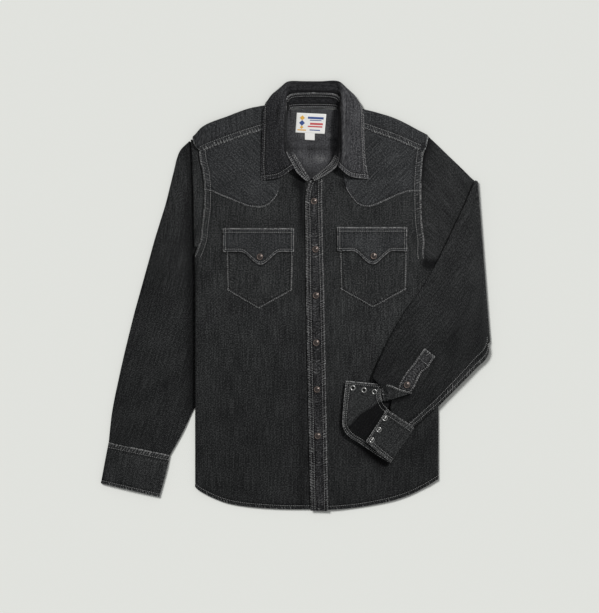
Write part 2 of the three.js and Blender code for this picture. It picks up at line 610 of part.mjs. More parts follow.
function rightSleeveRow(row, k) {
  const turn = row.turn * Math.PI / 180;
  const over = row.turn === 180;
  const last = RIGHT_SLEEVE.length - 1;
  const half = mix(SLEEVE_HALF, MOUTH_HALF, ease(last - MOUTH_ROWS, last, k));
  const low = BACK_LEVEL + SLEEVE_HALF;
  const z = mix(low, SLEEVE_OVER, (1 - Math.cos(turn)) / 2) + half - SLEEVE_HALF;
  const puff = row.turn === 0 ? LYING_HUMP : 0;
  const ring = {
    a: new THREE.Vector3(...row.upper, z).addScaledVector(OUTWARD, CREASE_REACH * Math.sin(turn)),
    b: new THREE.Vector3(...row.under, z).addScaledVector(OUTWARD, CREASE_REACH * Math.sin(turn)),
    lift: new THREE.Vector3(-Math.sin(turn) * OUTWARD.x, -Math.sin(turn) * OUTWARD.y, Math.cos(turn)),
    halfA: half,
    halfB: half,
    bowTop: over ? HIDDEN_BOW * row.bow : row.bow,
    bowLow: over ? -row.bow : row.bow,
    wrist: over ? TO_CUFF : TO_CREASE,
    rise: (x, y, share) => puff * Math.sin(Math.PI * share) * ease(LYING_FROM, LYING_TO, x),
  };
  const points = sleeveRing(ring, SIDE_POINTS, SIDE_POINTS);
  if (!over) return points;
  // Folded over, the ring's low side is the one that is seen: its folds are raised there
  const firstSeen = SIDE_POINTS + 4;
  for (const [index, point] of points.slice(firstSeen, firstSeen + SIDE_POINTS + 1).entries()) {
    const inside = Math.sin(Math.PI * index / SIDE_POINTS);
    point.z += inside * (FOLDED_HUMP + foldHeight(OVER_FOLDS, point.x, point.y));
  }
  return points;
}

function rightSleeve() {
  addMesh('sleeve_right', clothWall(RIGHT_SLEEVE.map(rightSleeveRow), CLOTH, true), frontDenim);
}

// Cuffs. A row for each section round the open right cuff, from the end with the studs,
// round the fold and under, to the end with the sockets: its seam edge and its wrist edge.
const OPEN_CUFF = [
  { seam: [160, -211, 16.2], wrist: [127, -262, 17.6] },
  { seam: [186, -228.5, 16], wrist: [148.5, -281, 17.2] },
  { seam: [206, -241.5, 14.6], wrist: [167, -296, 15.8] },
  { seam: [211, -245.5, 12.2], wrist: [171, -299.5, 13.2] },
  { seam: [206.5, -243.5, 9.8], wrist: [166.5, -298.5, 10.6] },
  { seam: [187, -230.5, 8.6], wrist: [141, -282.5, 9.8] },
  { seam: [169, -215, 8.4], wrist: [116, -265.5, 11] },
  { seam: [153, -196, 8.6], wrist: [96.5, -253, 12.6] },
  { seam: [144, -179, 9.2], wrist: [86, -237, 13.8] },
  { seam: [147, -168, 9.8], wrist: [86.5, -197, 13.6] },
  { seam: [160, -160.5, 11], wrist: [91, -154, 12.4] },
];

// The buttoned left cuff lies flat: its outer and inner edges from the seam to the wrist
const CLOSED_CUFF = [
  { outer: [-335.6, -264.8], inner: [-227, -287.5] },
  { outer: [-339, -282], inner: [-229, -298.5] },
  { outer: [-343, -303], inner: [-234.5, -322] },
  { outer: [-349.4, -337.5], inner: [-245.5, -361.8] },
];
const CUFF_HALF = 2.6;            // half the way between its two layers
const CUFF_HUMP = 1.4;            // rise of its upper layer
const OPEN_CUFF_ROWS = 24;

function cuffs() {
  const seam = curve(OPEN_CUFF.map((row) => row.seam));
  const wrist = curve(OPEN_CUFF.map((row) => row.wrist));
  const rows = evenSteps(OPEN_CUFF_ROWS).map((v) => {
    const from = seam(v);
    const to = wrist(v);
    return evenSteps(3).map((u) => from.clone().lerp(to, u));
  });
  addMesh('cuff_right', clothWall(rows, COLLAR_CLOTH), trimDenim);

  const rings = CLOSED_CUFF.map((row) => sleeveRing({
    a: new THREE.Vector3(...row.outer, COLLAR_CLOTH / 2 + CUFF_HALF),
    b: new THREE.Vector3(...row.inner, COLLAR_CLOTH / 2 + CUFF_HALF),
    lift: new THREE.Vector3(0, 0, 1),
    halfA: CUFF_HALF,
    halfB: CUFF_HALF,
    rise: (x, y, share) => CUFF_HUMP * Math.sin(Math.PI * share),
  }, SIDE_POINTS, LOW_POINTS));
  addMesh('cuff_left', clothWall(rings, COLLAR_CLOTH, true), trimDenim);
}

// Placket strip over the slit of the right sleeve, which carries one snap
const SLEEVE_SLIT = [
  { left: [232, -95.5], right: [250, -110] },
  { left: [222, -109], right: [242, -121.5] },
  { left: [211.5, -123.5], right: [231, -134] },
  { left: [197, -141.5], right: [217, -157] },
  { left: [185, -165.5], right: [208, -171.5] },
];
const SLIT_LEVEL = 14.2;          // the strip's middle at its top end
const SLIT_RISE = 2.6;            // its rise onto the cuff
const SLIT_CLIMB = 0.45;          // share of its length where that rise starts

function sleevePlacket() {
  const left = curve(SLEEVE_SLIT.map((row) => row.left));
  const right = curve(SLEEVE_SLIT.map((row) => row.right));
  const rows = evenSteps(8).map((v) => evenSteps(3).map((u) => {
    const point = left(v).lerp(right(v), u);
    point.z = SLIT_LEVEL + SLIT_RISE * ease(SLIT_CLIMB, 1, v);
    return point;
  }));
  addMesh('sleeve_placket_right', clothWall(rows, CLOTH), trimDenim);
}

// Collar stand, a row for each section from the left front round the back to the right front:
// its neck edge and its top edge
const STAND = [
  { neck: [25.5, 210.5, 6.4], top: [20.5, 205.5, 9.5] },
  { neck: [14, 227.5, 6.4], top: [5.5, 218.5, 14] },
  { neck: [6, 242, 6.6], top: [-5.5, 234, 18] },
  { neck: [-5.5, 259, 7], top: [-15.5, 254.5, 21.5] },
  { neck: [-14.5, 276, 7.6], top: [-19, 276, 24] },
  { neck: [-15.5, 301.5, 7.8], top: [-18.5, 301.5, 24] },
  { neck: [-14, 326.5, 7.4], top: [-17.5, 334, 20] },
  { neck: [-9, 335.5, 5.6], top: [-16.5, 353.5, 12.5] },
  { neck: [3, 337.5, 4.6], top: [-4.5, 362.5, 6.6] },
  { neck: [31.5, 338, 4.4], top: [31.5, 364.5, 5.4] },
  { neck: [60, 337.5, 4.6], top: [67.5, 362.5, 6.6] },
  { neck: [73, 335.5, 5.6], top: [80.5, 353.5, 12.5] },
  { neck: [77.5, 326.5, 7.4], top: [81, 334, 20] },
  { neck: [78, 301.5, 7.8], top: [81, 301.5, 24] },
  { neck: [76.5, 276, 7.8], top: [81, 276, 24] },
  { neck: [73, 258, 7.8], top: [80, 253, 21] },
  { neck: [64, 240, 8], top: [75.5, 235, 17.5] },
  { neck: [51, 227.5, 8.4], top: [60, 220.5, 14] },
  { neck: [31.5, 211.5, 9.6], top: [34.5, 206, 12.4] },
];

// Collar fall, a row for each section from leaf to leaf: where it leaves the stand, its roll,
// its middle and its outer edge. At the back it is folded under the stand.
const FALL = [
  { foot: [-2.5, 229.5, 19], roll: [-5, 228, 21], middle: [-28, 213.5, 14.5], edge: [-61, 207.5, 8.7] },
  { foot: [-15.5, 253, 22.8], roll: [-18.5, 254, 25.5], middle: [-37, 244, 17.5], edge: [-61.5, 226, 8.3] },
  { foot: [-19.5, 276, 25], roll: [-21.5, 276, 28], middle: [-38.5, 272.5, 19.5], edge: [-60.5, 253, 7.8] },
  { foot: [-19, 301.5, 25], roll: [-21, 301.5, 28.3], middle: [-38.5, 299.5, 20], edge: [-59.5, 283.5, 8.2] },
  { foot: [-18, 334, 21], roll: [-20, 334.5, 25.5], middle: [-39.5, 330.5, 18.5], edge: [-58.5, 312, 9.2] },
  { foot: [-17, 354, 13.6], roll: [-19, 357.5, 18.5], middle: [-39.5, 355.5, 14], edge: [-57, 333, 9.6] },
  { foot: [-13.5, 361.5, 9.4], roll: [-16.5, 374, 12.5], middle: [-37, 365.5, 7], edge: [-50, 349, 4] },
  { foot: [-4.5, 364.2, 7], roll: [-10.5, 385.2, 6.4], middle: [-21, 371, 1.6], edge: [-27, 350, 1] },
  { foot: [31.5, 365.8, 6], roll: [31.5, 385.2, 3.4], middle: [31.5, 376, 1.2], edge: [31.5, 350, 0.75] },
  { foot: [67.5, 364.2, 7], roll: [74.5, 385.2, 6.4], middle: [84.5, 371, 1.6], edge: [90, 350, 1] },
  { foot: [77, 361.5, 9.4], roll: [81.5, 374, 12.5], middle: [101, 364.5, 7], edge: [114, 347, 4] },
  { foot: [81, 354, 13.6], roll: [83, 356, 18.5], middle: [103.5, 353, 14], edge: [120.5, 332, 9.6] },
  { foot: [81.5, 334, 21], roll: [83.5, 334.5, 25.5], middle: [103.5, 330.5, 18.5], edge: [122.5, 312, 9.2] },
  { foot: [81.5, 301.5, 25], roll: [83.5, 301.5, 28.3], middle: [103.5, 299.5, 20], edge: [123, 283.5, 8.2] },
  { foot: [81.5, 276, 25], roll: [83.5, 276, 28], middle: [103.5, 271, 19.5], edge: [124.5, 254.5, 7.8] },
  { foot: [80.7, 253, 22.2], roll: [82.5, 252, 25], middle: [103.5, 242, 17.5], edge: [127.5, 229.5, 7.8] },
  { foot: [76.5, 235, 18.8], roll: [78, 231.5, 20.5], middle: [98, 215, 14.5], edge: [130.5, 210, 8.2] },
];

const FALL_ROWS = 42;
const FALL_STEPS = [0, 0.12, 0.24, 0.33, 0.43, 0.6, 0.8, 1];   // closer round the roll

function collar() {
  const standRows = STAND.flatMap((row, k) => {
    const here = [row.neck, row.top].map((point) => new THREE.Vector3(...point));
    if (k === STAND.length - 1) return [here];
    const next = [STAND[k + 1].neck, STAND[k + 1].top].map((point) => new THREE.Vector3(...point));
    return [here, here.map((point, side) => point.clone().lerp(next[side], 0.5))];
  });
  const rows = standRows.map(([low, high]) => evenSteps(2).map((t) => low.clone().lerp(high, t)));
  addMesh('collar_stand', clothWall(rows, COLLAR_CLOTH), collarDenim);
  const lines = ['foot', 'roll', 'middle', 'edge'].map((name) => new THREE.CatmullRomCurve3(
    FALL.map((row) => new THREE.Vector3(...row[name])), false, 'centripetal',
  ));
  const fallRows = evenSteps(FALL_ROWS).map((v) => {
    const section = new THREE.CatmullRomCurve3(lines.map((line) => line.getPoint(v)), false, 'centripetal');
    return FALL_STEPS.map((u) => {
      const point = section.getPoint(u);
      point.z = Math.max(COLLAR_CLOTH / 2, point.z);
      return point;
    });
  });
  addMesh('collar', clothWall(fallRows, COLLAR_CLOTH), collarDenim);
}

// Neck label and size tab, bare, on the inside of the back yoke
const LABEL_CLOTH = 1;
const LABELS = [
  { name: 'label', corners: [[2.5, 328.5], [55, 326], [52, 291], [0, 293.5]], lift: 0.15 },
  { name: 'size_tab', corners: [[17, 292.5], [34, 291.5], [34, 279.5], [17, 280.5]], lift: 0 },
];

function labels() {
  const seat = BACK_LEVEL + (CLOTH + LABEL_CLOTH) / 2 + SEAM_GAP;
  for (const { name, corners: [a, b, c, d], lift } of LABELS) {
    const rows = evenSteps(4).map((v) => evenSteps(3).map((u) => {
      const x = mix(mix(a[0], b[0], u), mix(d[0], c[0], u), v);
      const y = mix(mix(a[1], b[1], u), mix(d[1], c[1], u), v);
      return new THREE.Vector3(x, y, seat + NECK_RISE * ease(NECK_FLAT, NECK_TOP, y) + lift);
    }));
    addMesh(name, clothWall(rows, LABEL_CLOTH), labelCloth);
  }
}

const SNAP_SIDES = 10;

// A snap: a domed cap, or the ring of a socket or stud, turned about its own axis
function snap(name, x, y, z, diameter) {
  const r = diameter / 2;
  const stud = diameter === SNAP_SOCKET;
  const profile = stud
    ? [[0, 0], [r, 0], [r, 0.9], [r * 0.72, 1.5], [r * 0.5, 0.9], [r * 0.34, 0.9], [r * 0.24, 1.7], [0, 1.7]]
    : [[0, 0], [r, 0], [r, 0.8], [r * 0.86, 1.6], [r * 0.7, 1.5], [r * 0.45, 2.3], [0, 2.6]];
  const outline = profile.map(([px, py]) => new THREE.Vector2(px, py));
  const geometry = new THREE.LatheGeometry(outline, SNAP_SIDES);
  geometry.rotateX(Math.PI / 2);
  const mesh = addMesh(name, geometry, stud ? silverMetal : capMetal);
  mesh.position.set(x, y, z);
}

const PLACKET_SNAPS = [
  { x: 33.2, y: 169.5 }, { x: 36, y: 83 }, { x: 36.8, y: 0 }, { x: 37.2, y: -85 }, { x: 38.6, y: -169 },
  { x: 39.8, y: -252.5 },
];
const FLAP_SNAPS = [{ side: 'left', x: -64, y: 69.5 }, { side: 'right', x: 140.5, y: 71 }];
const SLEEVE_SNAP = { x: 200, y: -160.5 };
const CUFF_STUDS = [
  { x: 160.5, y: -220.5, z: 17.6 }, { x: 149.5, y: -241, z: 18.1 }, { x: 137, y: -259.5, z: 18.6 },
];
const CUFF_SOCKETS = [
  { x: 103, y: -166, z: 13.6 }, { x: 123, y: -170, z: 12.5 }, { x: 142, y: -173, z: 11.3 },
];
const SLOPE_GAP = 0.3;            // more air under a snap where the cloth below it slopes

function snaps() {
  const onTop = CLOTH / 2 + SEAM_GAP;
  PLACKET_SNAPS.forEach(({ x, y }, k) => {
    const z = frontHeight(x, y) + 2 * LAYER + onTop + SLOPE_GAP / 3;
    snap(`snap_placket_${k + 1}`, x, y, z, SNAP_CAP);
  });
  for (const { side, x, y } of FLAP_SNAPS) {
    const rise = side === 'right' ? lapRise(x) : 0;
    snap(`snap_flap_${side}`, x, y, frontHeight(x, y) + 2 * LAYER + rise + onTop + SLOPE_GAP, SNAP_CAP);
  }
  const stripTop = SLIT_LEVEL + SLIT_RISE + onTop + SLOPE_GAP;
  snap('snap_sleeve_right', SLEEVE_SNAP.x, SLEEVE_SNAP.y, stripTop, SNAP_CAP);
  CUFF_STUDS.forEach(({ x, y, z }, k) => snap(`stud_cuff_${k + 1}`, x, y, z, SNAP_SOCKET));
  CUFF_SOCKETS.forEach(({ x, y, z }, k) => snap(`socket_cuff_${k + 1}`, x, y, z, SNAP_SOCKET));
}

backPanel();
backYoke();
fronts();
frontYokes();
placket();
pocketsAndFlaps();
leftSleeve();
leftSleeveHead();
rightSleeve();
cuffs();
sleevePlacket();
collar();
labels();
snaps();

export default group;
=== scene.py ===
import json
import math

import bpy
import mathutils
import numpy as np
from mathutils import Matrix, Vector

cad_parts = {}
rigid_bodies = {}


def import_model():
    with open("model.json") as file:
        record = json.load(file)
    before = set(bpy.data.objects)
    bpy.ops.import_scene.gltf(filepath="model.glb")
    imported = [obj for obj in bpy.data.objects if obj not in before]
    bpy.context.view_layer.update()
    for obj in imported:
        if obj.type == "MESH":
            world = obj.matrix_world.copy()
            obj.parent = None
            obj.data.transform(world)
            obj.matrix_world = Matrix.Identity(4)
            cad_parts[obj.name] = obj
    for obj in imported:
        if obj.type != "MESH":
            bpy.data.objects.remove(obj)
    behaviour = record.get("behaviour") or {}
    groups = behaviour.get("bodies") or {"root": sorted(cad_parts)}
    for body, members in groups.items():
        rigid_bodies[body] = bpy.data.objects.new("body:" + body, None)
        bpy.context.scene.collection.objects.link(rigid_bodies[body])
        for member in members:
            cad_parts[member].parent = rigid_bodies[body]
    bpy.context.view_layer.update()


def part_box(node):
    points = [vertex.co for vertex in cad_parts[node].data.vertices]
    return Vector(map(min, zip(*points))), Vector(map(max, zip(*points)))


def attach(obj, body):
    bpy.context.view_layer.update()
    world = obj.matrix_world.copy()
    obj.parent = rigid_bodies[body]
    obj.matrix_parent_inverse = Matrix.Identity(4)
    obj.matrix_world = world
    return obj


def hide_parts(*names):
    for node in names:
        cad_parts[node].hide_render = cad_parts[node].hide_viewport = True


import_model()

# Back panel
# One layer of denim from side seam to side seam, which rests on the surface and carries the rest.
# It is raised in a soft step where the tucked left sleeve lies under it.
MM = 0.001
CLOTH = 1.1
SEAM_GAP = 0.3
LAYER = CLOTH + SEAM_GAP
BACK_LEVEL = CLOTH / 2
SLEEVE_LIFT = 3.5
LIFT_REACH = 16
LIFT_SLOPE = 62
TUCKED_EDGE = [
    (300, -170), (280, -150), (244, -125), (181, -103.5), (127, -93), (71, -85.5), (21, -93),
    (-31, -109), (-85, -129), (-147, -156), (-197, -179), (-286, -240),
]


def ease(low, high, value):
    t = np.clip((value - low) / (high - low), 0, 1)
    return t * t * (3 - 2 * t)


def near(value, place, reach):
    """A bell from 1 at a place down to nothing, some two reaches away"""
    return np.exp(-(((value - place) / reach) ** 2))


def spot(x, y, middle, reach):
    return np.exp(-(((x - middle[0]) / reach[0]) ** 2) - ((y - middle[1]) / reach[1]) ** 2)


def edge_at(table, height):
    heights, places = zip(*reversed(table))
    return np.interp(height, heights, places)


def sleeve_lift(x, y):
    edge = edge_at(TUCKED_EDGE, y) + LIFT_REACH
    return SLEEVE_LIFT * (1 - ease(edge, edge + LIFT_SLOPE, x))


def bumps(x, y, size, seed):
    """Soft uneven heights from -1 to 1, one size apart, the same on every run"""
    gx, gy = np.broadcast_arrays(np.asarray(x, float) / size, np.asarray(y, float) / size)
    ix, iy = np.floor(gx).astype(np.int64), np.floor(gy).astype(np.int64)
    tx, ty = ease(0, 1, gx - ix), ease(0, 1, gy - iy)

    def corner(i, j):
        mixed = (i * 374761393 + j * 668265263 + seed * 974711) & 0x7FFFFFFF
        mixed = ((mixed ^ (mixed >> 13)) * 1274126177) & 0x7FFFFFFF
        return ((mixed ^ (mixed >> 16)) & 0xFFFF) / 32767.5 - 1

    low = corner(ix, iy) * (1 - tx) + corner(ix + 1, iy) * tx
    high = corner(ix, iy + 1) * (1 - tx) + corner(ix + 1, iy + 1) * tx
    return low * (1 - ty) + high * ty


def curve(points):
    """Smooth line through points, read by its share of the length"""
    knots = np.array(points, float)
    knots = np.vstack([2 * knots[0] - knots[1], knots, 2 * knots[-1] - knots[-2]])
    t = np.linspace(0, 1, 13)[:, None]
    fine = []
    for p0, p1, p2, p3 in zip(knots, knots[1:], knots[2:], knots[3:]):
        d0, d1, d2 = (np.linalg.norm(b - a) ** 0.5 for a, b in ((p0, p1), (p1, p2), (p2, p3)))
        m1 = ((p1 - p0) / d0 - (p2 - p0) / (d0 + d1) + (p2 - p1) / d1) * d1
        m2 = ((p2 - p1) / d1 - (p3 - p1) / (d1 + d2) + (p3 - p2) / d2) * d1
        bend = (2 * p1 - 2 * p2 + m1 + m2) * t**3 + (-3 * p1 + 3 * p2 - 2 * m1 - m2) * t**2
        fine.append(bend + m1 * t + p1)
    line = np.vstack(fine)
    length = np.concatenate([[0], np.cumsum(np.linalg.norm(np.diff(line, axis=0), axis=1))])
    return lambda share: np.stack([np.interp(share * length[-1], length, c) for c in line.T], -1)


def pattern(hem, top, start, side, us, vs):
    """Rows of points of a flat cut between its four edges: us across, vs from hem to top"""
    u, v = us[None, :, None], vs[:, None, None]
    low, high, first, last = hem(us)[None], top(us)[None], start(vs)[:, None], side(vs)[:, None]
    corners = (1 - v) * ((1 - u) * low[:, :1] + u * low[:, -1:])
    corners = corners + v * ((1 - u) * high[:, :1] + u * high[:, -1:])
    return (1 - v) * low + v * high + (1 - u) * first + u * last - corners


EDGE_STEPS = np.array([0, 0.7, 1.4, 2.1, 2.9, 3.8, 4.8, 5.9, 7.0, 8.2, 9.6, 11.2, 13])


def shares(length, step, low=False, high=False):
    """Shares of a length of cloth a step apart, closer together beside a finished edge"""
    first = EDGE_STEPS if low else EDGE_STEPS[:1]
    last = length - (EDGE_STEPS if high else EDGE_STEPS[:1])
    count = max(2, round((last[-1] - first[-1]) / step))
    middle = np.linspace(first[-1], last[-1], count + 1)
    return np.unique(np.round(np.concatenate([first, middle, last]), 3)) / length


def lengths(rows):
    """Ways along the cloth: from the first column, to the last, from the hem, to the top"""
    across = np.pad(np.cumsum(np.linalg.norm(np.diff(rows, axis=1), axis=2), 1), ((0, 0), (1, 0)))
    along = np.pad(np.cumsum(np.linalg.norm(np.diff(rows, axis=0), axis=2), 0), ((1, 0), (0, 0)))
    return across, across[:, -1:] - across, along, along[-1:] - along


def facing(rows, closed=False):
    """Which way each point of the cloth faces"""
    if closed:
        ring = np.concatenate([rows[:, -1:], rows, rows[:, :1]], 1)
        across = ring[:, 2:] - ring[:, :-2]
    else:
        across = np.gradient(rows, axis=1)
    normal = np.cross(across, np.gradient(rows, axis=0))
    return normal / (np.linalg.norm(normal, axis=2, keepdims=True) + 1e-9)


def placed(name, node, points, faces, materials, smooth=True):
    """A mesh from points in millimetres, that rides on the root body and stands for a CAD node"""
    mesh = bpy.data.meshes.new(name)
    mesh.from_pydata((np.array(points) * MM).tolist(), [], faces)
    if smooth:
        mesh.shade_smooth()
    for material in materials:
        mesh.materials.append(material)
    made = bpy.data.objects.new(name, mesh)
    bpy.context.scene.collection.objects.link(made)
    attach(made, "root")
    if node:
        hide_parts(node)
    return made


pieces = {}


def sew(name, node, rows, cloth, cut, wear_and_shade, thickness=CLOTH, closed=False, inner=-1,
        puckers=None):
    """A closed wall of cloth with round edges through rows of its middle points.
    cut is each point's place in the flat cut, wear_and_shade runs from 1, worn pale, to -1, dark,
    below zero mostly painted shade, inner is the side that shows the cloth's inside, over 1, under -1
    or 0 for two plies, and puckers come from its seams."""
    high, wide = rows.shape[:2]
    normal = facing(rows, closed)
    half = thickness / 2
    over, under = rows + half * normal, rows - half * normal
    number = np.arange(high * wide).reshape(high, wide)
    if closed:
        number = np.concatenate([number, number[:, :1]], 1)
    quads = np.stack([number[:-1, :-1], number[:-1, 1:], number[1:, 1:], number[1:, :-1]], -1)
    quads = quads.reshape(-1, 4)
    faces = [quads, quads[:, ::-1] + high * wide]
    points = [over.reshape(-1, 3), under.reshape(-1, 3)]
    source = [np.arange(high * wide)] * 2
    side = [np.full(high * wide, 1), np.full(high * wide, -1)]
    if closed:
        loops = [number[0, :-1], number[-1, -2::-1]]
    else:
        border = [number[0, :-1], number[:-1, -1], number[-1, :0:-1], number[:0:-1, 0]]
        loops = [np.concatenate(border)]
    flat_rows, flat_normal = rows.reshape(-1, 3), normal.reshape(-1, 3)
    total = 2 * high * wide
    for loop in loops:
        following = np.roll(loop, -1)
        step = flat_rows[following] - flat_rows[np.roll(loop, 1)]
        outward = np.cross(step, flat_normal[loop])
        outward /= np.linalg.norm(outward, axis=1, keepdims=True) + 1e-9
        points.append(flat_rows[loop] + outward * half * 0.9)
        here = total + np.arange(len(loop))
        after = np.roll(here, -1)
        faces.append(np.stack([here, after, following, loop], -1))
        faces.append(np.stack([loop + high * wide, following + high * wide, after, here], -1))
        source.append(loop)
        side.append(np.full(len(loop), -inner))
        total += len(loop)
    made = placed(name, node, np.vstack(points), np.vstack(faces).tolist(), [cloth])
    source, side = np.concatenate(source), np.concatenate(side)
    place = np.zeros((total, 3), np.float32)
    place[:, :2] = cut.reshape(-1, 2)[source] * MM
    toned = np.clip(wear_and_shade.reshape(-1)[source], -1, 1).astype(np.float32)
    inside = (side * inner == 1).astype(np.float32)
    roped = np.zeros((total, 3), np.float32)
    if puckers is not None:
        roped[:] = (puckers.reshape(-1, 3) * (MM, MM, 1))[source]
    for label, kind, key, values in (
            ("cut", "FLOAT_VECTOR", "vector", place), ("wear_and_shade", "FLOAT", "value", toned),
            ("inside", "FLOAT", "value", inside), ("puckers", "FLOAT_VECTOR", "vector", roped)):
        made.data.attributes.new(label, kind, "POINT").data.foreach_set(key, values.ravel())
    pieces[name] = {"rows": over, "under": under}
    return made


def linear(hex_colour, share=1):
    """An sRGB hex value as linear light, or a share of it"""
    channels = [int(hex_colour[k:k + 2], 16) / 255 for k in (1, 3, 5)]
    light = [c / 12.92 if c <= 0.04045 else ((c + 0.055) / 1.055) ** 2.4 for c in channels]
    return [*(share * c for c in light), 1]


def wire(tree, node, links):
    """Sets a node's inputs to values, or links them to outputs"""
    for key, value in dict(links).items():
        if isinstance(value, bpy.types.NodeSocket):
            tree.links.new(value, node.inputs[key])
        else:
            node.inputs[key].default_value = value
    return node


def add(tree, kind, links=(), **settings):
    """A node with its settings and its inputs"""
    made = tree.nodes.new(kind)
    for key, value in settings.items():
        setattr(made, key, value)
    return wire(tree, made, links)


def material(name):
    made = bpy.data.materials.new(name)
    made.use_nodes = True
    return made, made.node_tree, made.node_tree.nodes["Principled BSDF"]


# Real warp threads lie 0.4 mm apart, twill lines 0.8 mm, and flecks of weft are under 1 mm long.
# All three are drawn coarser, so that they show.
WARP_PITCH, STREAK = 1.6, 45
TWILL_PITCH = 2.4
FLECK = 2.3
CLOUD = 60
STREAK_SHARE, FLECK_SHARE, TWILL_SHARE, CLOUD_SHARE = 0.42, 0.85, 0.12, 0.16
DARK_AT, BODY_AT, LIGHT_AT = 0.62, 0.78, 0.94
INNER_RANGE = 0.35, 1.7
# Ticks of puckered cloth beside a seam, in patches, and the dashes that break up a worn ridge
PUCKER_PITCH, PUCKER_PATCH, PUCKER_SLANT = 5.2, 9, 0.45
PUCKER_WEAR, PUCKER_HEIGHT = 0.5, 0.9
DASH = 3.6
# WORN is the pale of worn ridges; DEEP is the near-black of painted shade, by the seams partly less worn cloth
WORN, DEEP = "#9c9c9b", "#09090a"
DEEP_SHARE = 0.85
BUMP_DEPTH = 0.5


